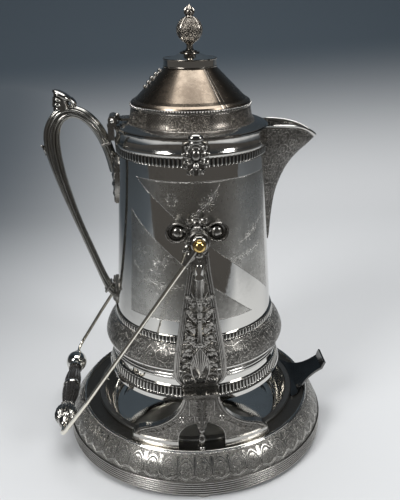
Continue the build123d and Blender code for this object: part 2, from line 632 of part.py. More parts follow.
# ---------------------------------------------------------------- lid hinge, pitcher side
with BuildPart() as hinge_bracket:
    with Locations((HINGE_X - 1.2, 0, RIM_Z + 1.6)):
        Box(8.4, 24.0, 3.2)
    with BuildSketch(Plane.XZ.offset(-12.0)):
        with Locations((HINGE_X, HINGE_Z)):
            Circle(KNUCKLE_R)
        with Locations((HINGE_X, (RIM_Z + HINGE_Z) / 2)):
            Rectangle(KNUCKLE_R * 2 - 1.0, HINGE_Z - RIM_Z)
    extrude(amount=24.0)
    with Locations((HINGE_X, 0, HINGE_Z + 0.2)):
        Box(20.0, 9.2, 11.0, mode=Mode.SUBTRACT)
    with BuildSketch(Plane.XZ.offset(-20.0)):
        with Locations((HINGE_X, HINGE_Z)):
            Circle(PIN_R)
    extrude(amount=40.0, mode=Mode.SUBTRACT)
    # tongue down the outside of the collar
    with BuildSketch(Plane.XY.offset(350.0)):
        with Locations((HINGE_X - 1.5, 0)):
            Rectangle(7.8, 14.0)
    extrude(amount=RIM_Z - 350.0)
    add(envelope.part, mode=Mode.SUBTRACT)
hinge_bracket.part.label = "hinge_bracket"
export_step(hinge_bracket.part, "parts/hinge_bracket.step")

with BuildPart() as hinge_pin:
    with BuildSketch(Plane.XZ.offset(-12.0)):
        with Locations((HINGE_X, HINGE_Z)):
            Circle(PIN_R)
    extrude(amount=24.0)
    with Locations((HINGE_X, 13.6, HINGE_Z), (HINGE_X, -13.6, HINGE_Z)):
        Sphere(2.4)
    with Locations((HINGE_X, 0, HINGE_Z)):
        Box(6.0, 24.0, 6.0, mode=Mode.SUBTRACT)
    with BuildSketch(Plane.XZ.offset(-12.6)):
        with Locations((HINGE_X, HINGE_Z)):
            Circle(PIN_R)
    extrude(amount=25.2)
hinge_pin.part.label = "hinge_pin"
export_step(hinge_pin.part, "parts/hinge_pin.step")

# ================================================================ lid
LID_Z = RIM_Z + LID_GAP
with BuildPart() as lid_drum:
    with BuildSketch(Plane.XZ):
        with BuildLine():
            Polyline((63.0, LID_Z), (79.3, LID_Z), (79.3, 366.4), (76.6, 367.4), (75.6, 367.0), (70.6, 369.0),
                     (69.6, 368.6), (66.4, 370.0))
            Spline((66.4, 370.0), (64.6, 373.6), (63.4, 379.0), (62.4, 385.3))
            Polyline((62.4, 385.3), (60.9, 385.3))
            Spline((60.9, 385.3), (61.8, 379.0), (62.6, 373.6), (63.0, 368.0))
            Line((63.0, 368.0), (63.0, LID_Z))
        make_face()
    revolve(axis=Axis.Z)
    with Locations((HINGE_X - 0.4, 0, 366.0)):
        Box(13.0, 25.4, 10.0, mode=Mode.SUBTRACT)
lid_drum.part.label = "lid_drum"
export_step(lid_drum.part, "parts/lid_drum.step")

with BuildPart() as lid_bead_band:
    with BuildSketch(Plane.XZ):
        with BuildLine():
            Polyline((60.9, 385.3), (63.4, 385.3), (63.0, 388.5), (60.9, 388.5), close=True)
        make_face()
    revolve(axis=Axis.Z)
lid_bead_band.part.label = "lid_bead_band"
export_step(lid_bead_band.part, "parts/lid_bead_band.step")

with BuildPart() as lid_cone:
    with BuildSketch(Plane.XZ):
        with BuildLine():
            Polyline((60.9, 388.5), (62.4, 388.5), (61.6, 390.2), (58.8, 392.0), (57.8, 391.8), (55.4, 394.6),
                     (CAP_R - 0.5, CAP_Z), (CAP_R - 2.5, CAP_Z), (54.0, 393.0), (60.0, 389.6), close=True)
        make_face()
    revolve(axis=Axis.Z)
lid_cone.part.label = "lid_cone"
export_step(lid_cone.part, "parts/lid_cone.step")

with BuildPart() as lid_cap:
    with BuildSketch(Plane.XZ):
        with BuildLine():
            Polyline((0, CAP_Z), (CAP_R, CAP_Z), (CAP_R, 431.2), (CAP_R - 0.8, 432.0))
            Spline((CAP_R - 0.8, 432.0), (17.0, 434.0), (9.6, 437.0))
            Polyline((9.6, 437.0), (0, 437.0), (0, CAP_Z))
        make_face()
    revolve(axis=Axis.Z)
    with Locations((0, 0, CAP_Z)):
        Cylinder(2.0, 30.0, mode=Mode.SUBTRACT)
lid_cap.part.label = "lid_cap"
export_step(lid_cap.part, "parts/lid_cap.step")

BALL_SIDE = [(4.6, BALL_Z - 12.8), (9.2, BALL_Z - 9.9), (12.3, BALL_Z - 5.4), (BALL_R, BALL_Z),
             (12.0, BALL_Z + 5.3), (8.8, BALL_Z + 9.7), (4.0, TOP_Z - 11.5)]
with BuildPart() as finial:
    with BuildSketch(Plane.XZ):
        with BuildLine():
            Polyline((0, 420.6), (2.0, 420.6), (2.0, 437.0), (8.8, 437.0))
            Spline((8.8, 437.0), (5.2, 439.2), (3.4, 441.6))
            Line((3.4, 441.6), (3.4, BALL_Z - 17.0))
            Spline((3.4, BALL_Z - 17.0), (3.6, BALL_Z - 14.4), (4.6, BALL_Z - 12.8))
            Spline(*BALL_SIDE)
            Spline((4.0, TOP_Z - 11.5), (3.6, TOP_Z - 9.9), (4.8, TOP_Z - 7.9), (4.4, TOP_Z - 6.1),
                   (2.2, TOP_Z - 3.3), (0.6, TOP_Z))
            Polyline((0.6, TOP_Z), (0, TOP_Z), (0, 420.6))
        make_face()
    revolve(axis=Axis.Z)
finial.part.label = "finial"
export_step(finial.part, "parts/finial.step")

with BuildPart() as finial_nut:
    with BuildSketch(Plane.XY.offset(CAP_Z - 2.8)):
        RegularPolygon(5.0, 6)
        Circle(2.0, mode=Mode.SUBTRACT)
    extrude(amount=2.8)
finial_nut.part.label = "finial_nut"
export_step(finial_nut.part, "parts/finial_nut.step")

with BuildPart() as lid_liner:
    with BuildSketch(Plane.XZ):
        with BuildLine():
            Polyline((0, 363.4), (70.4, 363.4), (70.4, LID_Z), (62.0, LID_Z), (62.0, 365.0),
                     (0, 365.0), close=True)
        make_face()
    revolve(axis=Axis.Z)
lid_liner.part.label = "lid_liner"
export_step(lid_liner.part, "parts/lid_liner.step")

with BuildPart() as lid_leaf:
    with BuildSketch(Plane.XZ.offset(-4.3)):
        with Locations((HINGE_X, HINGE_Z)):
            Circle(KNUCKLE_R)
    extrude(amount=8.6)
    with BuildSketch(Plane.XY.offset(370.6)):
        with BuildLine():
            Polyline((HINGE_X, -4.3), (-76.0, -4.3), (-72.0, -9.0), (-60.0, -10.0), (-60.0, 10.0),
                     (-72.0, 9.0),
                     (-76.0, 4.3), (HINGE_X, 4.3), close=True)
        make_face()
    extrude(amount=2.8)
    with Locations((-77.0, 0, 375.2)):
        Sphere(2.6)
    with BuildSketch(Plane.XZ):
        with BuildLine():
            Polyline((0, 360.0), (66.4, 360.0), (66.4, 370.0))
            Spline((66.4, 370.0), (64.6, 373.6), (63.4, 379.0), (62.4, 385.3))
            Polyline((62.4, 385.3), (0, 385.3), (0, 360.0))
        make_face()
    revolve(axis=Axis.Z, mode=Mode.SUBTRACT)
    with BuildSketch(Plane.XZ.offset(-20.0)):
        with Locations((HINGE_X, HINGE_Z)):
            Circle(PIN_R + PIN_FIT)
    extrude(amount=40.0, mode=Mode.SUBTRACT)
lid_leaf.part.label = "lid_leaf"
export_step(lid_leaf.part, "parts/lid_leaf.step")

with BuildPart() as lid_ornament:
    with BuildSketch(Plane.XZ.offset(-3.2)):
        with BuildLine():
            Spline((-29.0, 421.4), (-33.0, 420.4), (-38.0, 415.2), (-43.0, 410.8), (-46.6, 406.0),
                   (-46.4, 403.0))
            Polyline((-46.4, 403.0), (-44.0, 403.0), (-27.0, 420.4), (-29.0, 421.4))
        make_face()
    extrude(amount=6.4)
    with BuildSketch(Plane.XZ):
        with BuildLine():
            Polyline((0, 380.0), (55.4, 380.0), (55.4, 394.6), (CAP_R - 0.5, CAP_Z), (0, CAP_Z), close=True)
        make_face()
    revolve(axis=Axis.Z, mode=Mode.SUBTRACT)
orn_solid = lid_ornament.part.solids().sort_by(SortBy.VOLUME)[-1]
orn_solid.label = "lid_ornament"
export_step(orn_solid, "parts/lid_ornament.step")

# ================================================================ bail and grip
LEAF_END = 24.0         # end of the leaf that holds the rod, from the pivot
ROD_Y_TOP = 117.6
ROD_Y_MID = 107.0       # at ROD_MID from the pivot: clears the tilting body
ROD_MID = 215.0
ROD_Y_END = 97.0
SPINDLE_END = 84.0
for side, s in (("front", 1), ("back", -1)):
    with BuildPart() as bail_eye:
        with BuildSketch(Plane.XZ.offset(s * EYE_IN)):
            with Locations((0, PIVOT_Z)):
                Circle(8.6)
            with BuildLine():
                Polyline(
                    *[(a * BAIL_DX - b * BAIL_DZ, PIVOT_Z + a * BAIL_DZ + b * BAIL_DX)
                      for a, b in ((2.0, -6.0), (10.0, -4.6), (15.0, -6.4), (20.0, -4.6), (LEAF_END, -3.0),
                                   (LEAF_END, 3.0), (20.0, 4.6), (15.0, 6.4), (10.0, 4.6), (2.0, 6.0))],
                    close=True)
            make_face()
        extrude(amount=s * (EYE_OUT - EYE_IN))
        with BuildSketch(Plane.XZ.offset(s * (EYE_IN - 1.0))):
            with Locations((0, PIVOT_Z)):
                Circle(STUD_R + RUN_FIT)
        extrude(amount=s * 10.0, mode=Mode.SUBTRACT)
    bail_eye.part.label = "bail_eye_" + side
    export_step(bail_eye.part, "parts/bail_eye_" + side + ".step")

    START = ((LEAF_END + 0.15) * BAIL_DX, -s * ROD_Y_TOP, PIVOT_Z + (LEAF_END + 0.15) * BAIL_DZ)
    MID = (ROD_MID * BAIL_DX, -s * ROD_Y_MID, PIVOT_Z + ROD_MID * BAIL_DZ)
    END = (GRIP_X, -s * ROD_Y_END, GRIP_Z)
    STUB = (GRIP_X, -s * SPINDLE_END, GRIP_Z)
    with BuildPart() as bail_arm:
        with BuildLine() as arm_path:
            FilletPolyline(START, MID, END, STUB, radius=11.0)
        with BuildSketch(Plane(origin=START, z_dir=arm_path.line % 0)):
            Circle(ROD_R)
        sweep()
    bail_arm.part.label = "bail_arm_" + side
    export_step(bail_arm.part, "parts/bail_arm_" + side + ".step")

with BuildPart() as grip_spindle:
    with BuildSketch(Plane.XZ.offset(-SPINDLE_END)):
        with Locations((GRIP_X, GRIP_Z)):
            Circle(ROD_R)
    extrude(amount=2 * SPINDLE_END)
grip_spindle.part.label = "grip_spindle"
export_step(grip_spindle.part, "parts/grip_spindle.step")

GRIP_BORE = ROD_R + GRIP_FIT
RING_R = 10.6
# grip pieces: name, half section as (distance along the axis, radius)
BALL_PTS = [(46.0, 7.2), (49.0, 10.8), (54.0, 12.6), (59.0, 12.9), (64.0, 11.8), (68.6, 8.0), (69.6, 6.0)]
for side, s in (("front", -1), ("back", 1)):
    with BuildPart() as barrel:
        with BuildSketch(Plane.XY):
            with BuildLine():
                Line((2.6, GRIP_BORE), (2.6, 9.4))
                Spline((2.6, 9.4), (10.0, 9.9), (22.0, 9.2), (34.0, 7.6), (40.0, 7.0))
                Line((40.0, 7.0), (40.0, GRIP_BORE))
                Line((40.0, GRIP_BORE), (2.6, GRIP_BORE))
            make_face()
        revolve(axis=Axis.X)
    barrel_part = Pos(GRIP_X, 0, GRIP_Z) * Rot(0, 0, 90 * s) * barrel.part
    barrel_part.label = "grip_barrel_" + side
    export_step(barrel_part, "parts/grip_barrel_" + side + ".step")

    with BuildPart() as ball:
        with BuildSketch(Plane.XY):
            with BuildLine():
                Polyline((40.0, GRIP_BORE), (40.0, 8.6), (43.0, 8.9), (43.6, 6.8), BALL_PTS[0])
                Spline(*BALL_PTS)
                Polyline(BALL_PTS[-1], (70.4, 6.6), (72.0, 6.6), (72.6, 5.2))
                Spline((72.6, 5.2), (76.0, 5.8), (80.0, 3.4))
                Polyline((80.0, 3.4), (80.0, GRIP_BORE), (40.0, GRIP_BORE))
            make_face()
        revolve(axis=Axis.X)
    ball_part = Pos(GRIP_X, 0, GRIP_Z) * Rot(0, 0, 90 * s) * ball.part
    ball_part.label = "grip_ball_" + side
    export_step(ball_part, "parts/grip_ball_" + side + ".step")

with BuildPart() as grip_ring:
    with BuildSketch(Plane.XY):
        with BuildLine():
            Line((-2.6, GRIP_BORE), (-2.6, 9.8))
            ThreePointArc((-2.6, 9.8), (0, RING_R), (2.6, 9.8))
            Line((2.6, 9.8), (2.6, GRIP_BORE))
            Line((2.6, GRIP_BORE), (-2.6, GRIP_BORE))
        make_face()
    revolve(axis=Axis.X)
ring_part = Pos(GRIP_X, 0, GRIP_Z) * Rot(0, 0, 90) * grip_ring.part
ring_part.label = "grip_ring"
export_step(ring_part, "parts/grip_ring.step")
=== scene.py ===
"""A plated tilting water pitcher on its footed stand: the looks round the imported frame."""
import math

import bmesh
import bpy
from mathutils import Matrix, Vector


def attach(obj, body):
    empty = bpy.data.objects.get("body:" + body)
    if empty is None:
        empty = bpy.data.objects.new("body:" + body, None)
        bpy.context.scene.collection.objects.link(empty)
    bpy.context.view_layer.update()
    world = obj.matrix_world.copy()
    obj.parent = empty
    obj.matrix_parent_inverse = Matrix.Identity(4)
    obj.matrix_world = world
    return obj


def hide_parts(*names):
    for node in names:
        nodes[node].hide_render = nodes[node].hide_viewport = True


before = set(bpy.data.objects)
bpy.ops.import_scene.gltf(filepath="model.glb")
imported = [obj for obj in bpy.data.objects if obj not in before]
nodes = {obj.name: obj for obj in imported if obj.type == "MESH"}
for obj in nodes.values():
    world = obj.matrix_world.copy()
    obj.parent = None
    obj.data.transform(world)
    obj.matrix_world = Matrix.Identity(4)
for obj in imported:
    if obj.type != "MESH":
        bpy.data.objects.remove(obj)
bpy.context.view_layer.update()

# ---- Base: a spun silver-plated pan on four small pads, with a cove border rolled with a pattern
# of arched panels between double bars, and a six-reed edge. The pan has toned dark with age, and
# the channel inside the crest, where the brackets stand under the pitcher, is painted nearly black
# as painted shade.


class Term:
    """A number in a shader, so that a pattern can be written as a sum."""

    def __init__(self, tree, out):
        self.tree, self.out = tree, out

    def feed(self, node, *values):
        """Sets or links a node's first inputs and gives its first output."""
        for socket, value in zip(node.inputs, values):
            if isinstance(value, Term):
                self.tree.links.new(value.out, socket)
            else:
                socket.default_value = value
        return Term(self.tree, node.outputs[0])

    def op(self, kind, *others):
        node = self.tree.nodes.new("ShaderNodeMath")
        node.operation = kind
        return self.feed(node, self, *others)

    def __add__(self, other):
        return self.op("ADD", other)

    def __sub__(self, other):
        return self.op("SUBTRACT", other)

    def __mul__(self, other):
        return self.op("MULTIPLY", other)

    def __truediv__(self, other):
        return self.op("DIVIDE", other)

    def __neg__(self):
        return self.op("MULTIPLY", -1.0)

    __radd__, __rmul__ = __add__, __mul__

    def __rsub__(self, other):
        return (-self) + other

    def ramp(self, low, high, start=0.0, end=1.0):
        """Goes smoothly from start to end as the number goes from low to high."""
        node = self.tree.nodes.new("ShaderNodeMapRange")
        node.interpolation_type = "SMOOTHSTEP"
        return self.feed(node, self, low, high, start, end)

    def near(self, value, width):
        """1 where the number is at value, and 0 beyond width from it."""
        return (self - value).op("ABSOLUTE").ramp(width * 0.4, width, 1.0, 0.0)


def texture(tree, kind, vector, out, settings=(), **values):
    """One output of a texture node that reads vector."""
    node = tree.nodes.new(kind)
    for key, value in dict(settings).items():
        setattr(node, key, value)
    tree.links.new(vector, node.inputs["Vector"])
    for key, value in values.items():
        if isinstance(value, Term):
            tree.links.new(value.out, node.inputs[key])
        else:
            node.inputs[key].default_value = value
    return Term(tree, node.outputs[out])


def split(tree, vector):
    """The three parts of a vector."""
    node = tree.nodes.new("ShaderNodeSeparateXYZ")
    tree.links.new(vector, node.inputs[0])
    return [Term(tree, s) for s in node.outputs]


def here(tree):
    """The three parts of a place on the piece."""
    return split(tree, tree.nodes.new("ShaderNodeTexCoord").outputs["Object"])


def gather(tree, *parts):
    """A vector of up to three parts."""
    node = tree.nodes.new("ShaderNodeCombineXYZ")
    for part, socket in zip(parts, node.inputs):
        tree.links.new(part.out, socket)
    return node.outputs[0]


def blend_colour(tree, share, first, second):
    """A colour between two, each a colour or a socket."""
    node = tree.nodes.new("ShaderNodeMix")
    node.data_type = "RGBA"
    tree.links.new(share.out, node.inputs[0])
    for value, socket in ((first, node.inputs[6]), (second, node.inputs[7])):
        if isinstance(value, tuple):
            socket.default_value = (*value, 1.0)
        else:
            tree.links.new(value, socket)
    return node.outputs[2]


def effect(name, inputs, outputs):
    """A new shader node group with its own named inputs and outputs."""
    tree = bpy.data.node_groups.new(name, "ShaderNodeTree")
    for label, kind, value in inputs:
        socket = tree.interface.new_socket(label, in_out="INPUT", socket_type="NodeSocket" + kind)
        if kind != "Vector":
            socket.default_value = value
    for label, kind in outputs:
        tree.interface.new_socket(label, in_out="OUTPUT", socket_type="NodeSocket" + kind)
    ins, outs = tree.nodes.new("NodeGroupInput"), tree.nodes.new("NodeGroupOutput")
    return tree, ins.outputs, outs.inputs


def use(tree, group, **values):
    """Places a group in a shader and gives its outputs."""
    node = tree.nodes.new("ShaderNodeGroup")
    node.node_tree = group
    for key, value in values.items():
        socket = node.inputs[key]
        if isinstance(value, Term):
            tree.links.new(value.out, socket)
        elif isinstance(value, bpy.types.NodeSocket):
            tree.links.new(value, socket)
        else:
            socket.default_value = (*value, 1.0) if isinstance(value, tuple) else value
    return node.outputs


# old plating: cloudy toning, fine handling scratches and dirt left in the hollows
tarnish, t_in, t_out = effect(
    "Tarnish",
    [("Bright", "Color", (0.8, 0.8, 0.8, 1)), ("Dull", "Color", (0.3, 0.3, 0.3, 1)), ("Amount", "Float", 0.5),
     ("Sheen", "Float", 0.2), ("Crevice", "Float", 0.8)],
    [("Color", "Color"), ("Roughness", "Float"), ("Height", "Float")])
where = tarnish.nodes.new("ShaderNodeTexCoord").outputs["Object"]
cloud = texture(tarnish, "ShaderNodeTexNoise", where, 0, Scale=16.0, Detail=6.0, Roughness=0.62)
mottle = texture(tarnish, "ShaderNodeTexNoise", where, 0, Scale=210.0, Detail=4.0, Roughness=0.6)
stretch = tarnish.nodes.new("ShaderNodeMapping")
stretch.inputs["Scale"].default_value = (900.0, 900.0, 60.0)
stretch.inputs["Rotation"].default_value = (0.5, 0.3, 0.0)
tarnish.links.new(where, stretch.inputs[0])
scratch = texture(tarnish, "ShaderNodeTexNoise", stretch.outputs[0], 0, Scale=1.0, Detail=2.0)
hollow = tarnish.nodes.new("ShaderNodeAmbientOcclusion")
hollow.samples, hollow.only_local = 6, True
hollow.inputs["Distance"].default_value = 0.0022
dirt = Term(tarnish, hollow.outputs["AO"]).ramp(0.25, 0.95, 1.0, 0.0)
toned = (cloud * 0.72 + mottle * 0.28 + Term(tarnish, t_in["Amount"]) - 0.5).ramp(0.36, 0.74)
share = (toned * 0.85 + dirt * Term(tarnish, t_in["Crevice"])).op("MINIMUM", 1.0)
aged = blend_colour(tarnish, share, t_in["Bright"], t_in["Dull"])
tarnish.links.new(aged, t_out["Color"])
rough = Term(tarnish, t_in["Sheen"]) + toned * 0.10 + (mottle - 0.5) * 0.10 + dirt * 0.18
tarnish.links.new(rough.op("MAXIMUM", 0.03).out, t_out["Roughness"])
tarnish.links.new((scratch * 0.5 + mottle * 0.5).out, t_out["Height"])

# bright-cut flowers and tendrils on a stippled ground, as a roll or a graver leaves them
floral, f_in, f_out = effect(
    "Floral engraving",
    [("Vector", "Vector", None), ("Scale", "Float", 60.0), ("Petals", "Float", 5.0), ("Line", "Float", 0.06)],
    [("Raised", "Float"), ("Ground", "Float")])
wander = texture(floral, "ShaderNodeTexNoise", f_in["Vector"], 1, Scale=Term(floral, f_in["Scale"]) * 1.7,
                 Detail=2.0)
shift = floral.nodes.new("ShaderNodeVectorMath")
shift.operation = "MULTIPLY_ADD"
floral.links.new(wander.out, shift.inputs[0])
shift.inputs[1].default_value = (0.005, 0.005, 0.0)
floral.links.new(f_in["Vector"], shift.inputs[2])
flat2d = {"voronoi_dimensions": "2D"}
size, line = Term(floral, f_in["Scale"]), Term(floral, f_in["Line"])
seed = texture(floral, "ShaderNodeTexVoronoi", shift.outputs[0], "Position", flat2d, Scale=size, Randomness=0.7)
vine = texture(floral, "ShaderNodeTexVoronoi", shift.outputs[0], 0,
               {"voronoi_dimensions": "2D", "feature": "DISTANCE_TO_EDGE"}, Scale=size, Randomness=0.7)
off = floral.nodes.new("ShaderNodeVectorMath")
off.operation = "SUBTRACT"
floral.links.new(shift.outputs[0], off.inputs[0])
floral.links.new(seed.out, off.inputs[1])
dx, dy, _ = split(floral, off.outputs[0])
dx, dy = dx * size, dy * size
away = (dx * dx + dy * dy).op("SQRT")
turn = dy.op("ARCTAN2", dx)
petals = (turn * Term(floral, f_in["Petals"]) * 0.5 + away * 3.0).op("COSINE").op("ABSOLUTE")
reach = petals * 0.17 + 0.17
outline = (away - reach).op("ABSOLUTE").ramp(line * 0.4, line, 1.0, 0.0)
heart = away.ramp(0.05, 0.085, 1.0, 0.0)
ribs = petals.ramp(0.78, 0.97) * away.ramp(0.08, 0.14) * (reach - away).ramp(0.0, 0.05)
stem = vine.ramp(line * 0.35, line * 0.8, 1.0, 0.0)
curl = (turn * 2.0 + away * 26.0).op("SINE").op("ABSOLUTE").ramp(0.12, 0.36, 1.0, 0.0)
curl = curl * (away - reach).ramp(0.05, 0.1) * vine.ramp(0.05, 0.1)
stipple = texture(floral, "ShaderNodeTexNoise", f_in["Vector"], 0, Scale=size * 14.0, Detail=1.0).ramp(0.45, 0.62)
raised = outline.op("MAXIMUM", heart).op("MAXIMUM", ribs).op("MAXIMUM", stem).op("MAXIMUM", curl * 0.8)
floral.links.new((raised + stipple * 0.25).out, f_out["Raised"])
floral.links.new(raised.op("MULTIPLY", -0.75).op("ADD", 0.8).out, f_out["Ground"])

# place on a round piece: the turn about the axis (seam at the handle), the height and the radius
wrap, _, w_out = effect("Round the axis", [], [("Turn", "Float"), ("Height", "Float"), ("Radius", "Float")])
wx, wy, wz = here(wrap)
wrap.links.new(wy.op("ARCTAN2", wx).out, w_out["Turn"])
wrap.links.new(wz.out, w_out["Height"])
wrap.links.new((wx * wx + wy * wy).op("SQRT").out, w_out["Radius"])


def around(tree):
    """The turn, height and radius of a place on a round piece."""
    made = use(tree, wrap)
    return [Term(tree, made[name]) for name in ("Turn", "Height", "Radius")]


def flowers(tree, across, up, cells, line, **more):
    """The raised lines and the dark ground of the floral engraving."""
    made = use(tree, floral, Vector=gather(tree, across, up), Scale=cells, Line=line, **more)
    return Term(tree, made["Raised"]), Term(tree, made["Ground"])


# the last colour is the dark of engraved grounds and grooves, and also the painted shade in the base pan's channel
BRIGHT, MID, DULL, BLACKENED_AND_PAINTED_SHADE = (0.72, 0.705, 0.67), (0.36, 0.35, 0.33), (0.17, 0.163, 0.152), (0.035, 0.033, 0.03)


def plated(name, bright=BRIGHT, dull=DULL, amount=0.5, sheen=0.2, crevice=0.8, pattern=None, depth=0.00012):
    """A plated metal. pattern(tree) may give its relief, what lies dark in it, and what is polished."""
    mat = bpy.data.materials.new(name)
    mat.use_nodes = True
    tree, bsdf = mat.node_tree, mat.node_tree.nodes["Principled BSDF"]
    bsdf.inputs["Metallic"].default_value = 1.0
    made = use(tree, tarnish, Bright=bright, Dull=dull, Amount=amount, Sheen=sheen, Crevice=crevice)
    colour, roughness = made["Color"], Term(tree, made["Roughness"])
    height = Term(tree, made["Height"]) * 0.10
    if pattern:
        lift, ground, polish = pattern(tree)
        height = height + lift
        if ground is not None:
            colour = blend_colour(tree, ground, colour, BLACKENED_AND_PAINTED_SHADE)
            roughness = roughness + ground * 0.12
        if polish is not None:
            mirror = use(tree, tarnish, Bright=BRIGHT, Dull=MID, Amount=0.36, Sheen=0.05, Crevice=0.6)
            colour = blend_colour(tree, polish, colour, mirror["Color"])
            roughness = roughness * (1.0 - polish) + Term(tree, mirror["Roughness"]) * polish
    bump = tree.nodes.new("ShaderNodeBump")
    bump.inputs["Distance"].default_value = depth
    tree.links.new(height.out, bump.inputs["Height"])
    tree.links.new(bump.outputs[0], bsdf.inputs["Normal"])
    tree.links.new(colour, bsdf.inputs["Base Color"])
    tree.links.new(roughness.out, bsdf.inputs["Roughness"])
    return mat


def finish_node(material, *names):
    """Gives CAD nodes their finish."""
    for n in names:
        data = nodes[n].data
        data.materials.clear()
        data.materials.append(material)


PANELS = 50             # arched panels round the border
COVE_LOW, COVE_HIGH = 0.0207, 0.0445
CREST_IN, CREST_OUT = 0.1313, 0.1355


def arcade(tree):
    turn, height, radius = around(tree)
    across = (turn * (PANELS / math.tau)).op("FRACT") - 0.5
    aside = across.op("ABSOLUTE")
    up = (height - COVE_LOW) / (COVE_HIGH - COVE_LOW)
    inside = up.ramp(0.24, 0.28) * up.ramp(0.93, 0.96, 1.0, 0.0)
    bars = (aside.near(0.485, 0.045) + aside.near(0.41, 0.03)) * inside
    arch = (up + aside * aside * 1.5).near(0.88, 0.04) + (up + aside * aside * 2.2).near(0.76, 0.03)
    arch = arch * aside.ramp(0.39, 0.41, 1.0, 0.0) * inside
    fringe = (up - aside * 0.42).near(0.1, 0.035) + (up - aside * 0.42).near(0.03, 0.02)
    dx, dy = across * 1.15, (up - 0.52) * 1.45
    away, angle = (dx * dx + dy * dy).op("SQRT"), dy.op("ARCTAN2", dx)
    reach = (angle * 2.0).op("COSINE").op("ABSOLUTE") * 0.20 + 0.12
    flower = (away - reach).near(0.0, 0.035) + away.near(0.0, 0.06)
    flower = flower + (angle * 8.0).op("COSINE").ramp(0.3, 0.8) * (reach - away).ramp(0.0, 0.05)
    flower = flower * aside.ramp(0.37, 0.39, 1.0, 0.0) * inside
    small, field = flowers(tree, turn * 0.143, height, 150.0, 0.11)
    grains = small * 0.35
    cove = radius.ramp(CREST_OUT, CREST_OUT + 0.0006)
    lines = (bars + arch + fringe + flower).op("MINIMUM", 1.0)
    crest = radius.ramp(CREST_IN, CREST_IN + 0.0004) * (1.0 - cove)
    # painted shade: the channel inside the crest, under the pitcher and round the brackets, is coloured nearly
    # black
    channel_painted_shade = 1.0 - radius.ramp(CREST_IN - 0.0003, CREST_IN)
    ground = (1.0 - lines) * (field * 0.35 + 0.42) * cove + channel_painted_shade * 0.8
    return lines.op("MAXIMUM", grains) * cove, ground, crest * 0.8 + lines * cove * 0.22


finish_node(plated("border of arched panels", bright=(0.46, 0.445, 0.41), dull=(0.17, 0.16, 0.145), amount=0.44,
                   sheen=0.22,
                   pattern=arcade, depth=0.0007), "base_pan")
EDGE_LOW, REED_PITCH = 0.004, 0.002783


def reed_lines(tree):
    """Dirt in the grooves between the six reeds."""
    _, height, _ = around(tree)
    groove = ((height - EDGE_LOW) / REED_PITCH + 0.5).op("FRACT").near(0.5, 0.22)
    return groove * 0.0, groove * 0.85, (1.0 - groove) * 0.15


finish_node(plated("reeded edge", bright=(0.42, 0.405, 0.38), dull=(0.14, 0.132, 0.12), amount=0.48, sheen=0.22,
                   crevice=1.2,
                   pattern=reed_lines), "reeded_edge")
finish_node(plated("pad feet", bright=MID, sheen=0.35), "foot_front", "foot_back", "foot_spout", "foot_handle")


def dish_rings(tree):
    """Faint rings from the spinning lathe, and the flat grey top of the rim."""
    _, height, radius = around(tree)
    rim = height.ramp(0.0462, 0.0472)
    rings = (radius * 2600.0).op("SINE") * 0.08
    return rings * (1.0 - rim), rim * 0.72, (1.0 - rim)


finish_node(plated("polished dish", dull=MID, amount=0.45, sheen=0.22, pattern=dish_rings), "drip_dish")

# ---- Brackets: two cast arches that stand in the channel, each with a beaded rim along its
# shoulders, an engraved ground, a small rosette on each side and a strap with a leaf tip, and a
# turned post in the middle of the arch.
MM = 0.001


def placed(part, matrix):
    part.transform(matrix)
    return part


def moved(x, y, z):
    """A move in mm."""
    return Matrix.Translation(Vector((x, y, z)) * MM)


def join(whole, *parts):
    """Adds finished meshes to a mesh."""
    for part in parts:
        data = bpy.data.meshes.new("part")
        part.to_mesh(data)
        part.free()
        whole.from_mesh(data)
        bpy.data.meshes.remove(data)
    return whole


def turned(profile, steps=64):
    """A closed section of (radius, height) points in mm, turned about Z."""
    bm = bmesh.new()
    ring = [bm.verts.new((r * MM, 0, z * MM)) for r, z in profile]
    rim = [bm.edges.new(pair) for pair in zip(ring, ring[1:] + ring[:1])]
    bmesh.ops.spin(bm, geom=ring + rim, cent=(0, 0, 0), axis=(0, 0, 1), angle=math.tau, steps=steps, use_merge=True)
    bmesh.ops.remove_doubles(bm, verts=bm.verts, dist=1e-6)
    bmesh.ops.dissolve_degenerate(bm, edges=bm.edges, dist=1e-7)
    return bm


def smooth_line(points, steps, scale=1.0, radii=(1.0,), thick=0.0, sides=8):
    """The mesh of a smooth line through the points, as a tube where it is thick."""
    curve = bpy.data.curves.new("line", "CURVE")
    curve.dimensions, curve.resolution_u, curve.bevel_depth = "3D", steps, thick
    curve.bevel_resolution, curve.use_fill_caps = max(0, sides // 2 - 2), True
    spline = curve.splines.new("NURBS")
    spline.points.add(len(points) - 1)
    for i, (point, place) in enumerate(zip(spline.points, points)):
        point.co = (*(v * scale for v in place), 1.0)
        point.radius = radii[i * (len(radii) - 1) // max(1, len(points) - 1)]
    spline.order_u, spline.use_endpoint_u = min(4, len(points)), True
    holder = bpy.data.objects.new("line", curve)
    data = bpy.data.meshes.new_from_object(holder)
    bm = bmesh.new()
    bm.from_mesh(data)
    bpy.data.objects.remove(holder)
    bpy.data.curves.remove(curve)
    bpy.data.meshes.remove(data)
    return bm


def rod(points, radii, sides=8, steps=4):
    """A round rod of changing thickness along a smooth line, in mm."""
    radii = radii if isinstance(radii, (list, tuple)) else (radii,)
    bm = smooth_line(points, steps, MM, radii, MM, sides)
    bmesh.ops.remove_doubles(bm, verts=bm.verts, dist=1e-6)
    return bm


def as_object(bm, name, material):
    data = bpy.data.meshes.new(name)
    bm.to_mesh(data)
    bm.free()
    data.shade_smooth()
    data.materials.append(material)
    thing = bpy.data.objects.new(name, data)
    bpy.context.scene.collection.objects.link(thing)
    return thing


def finished(bm, name, material, body, stands_for=(), slot="cast_silver", crease=40):
    """The last step of a piece: its object, finish, body and the CAD nodes it stands for."""
    bmesh.ops.recalc_face_normals(bm, faces=bm.faces)
    piece = as_object(bm, name, material)
    piece.data.set_sharp_from_angle(angle=math.radians(crease))
    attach(piece, body)
    if stands_for:
        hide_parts(*stands_for)
    return piece


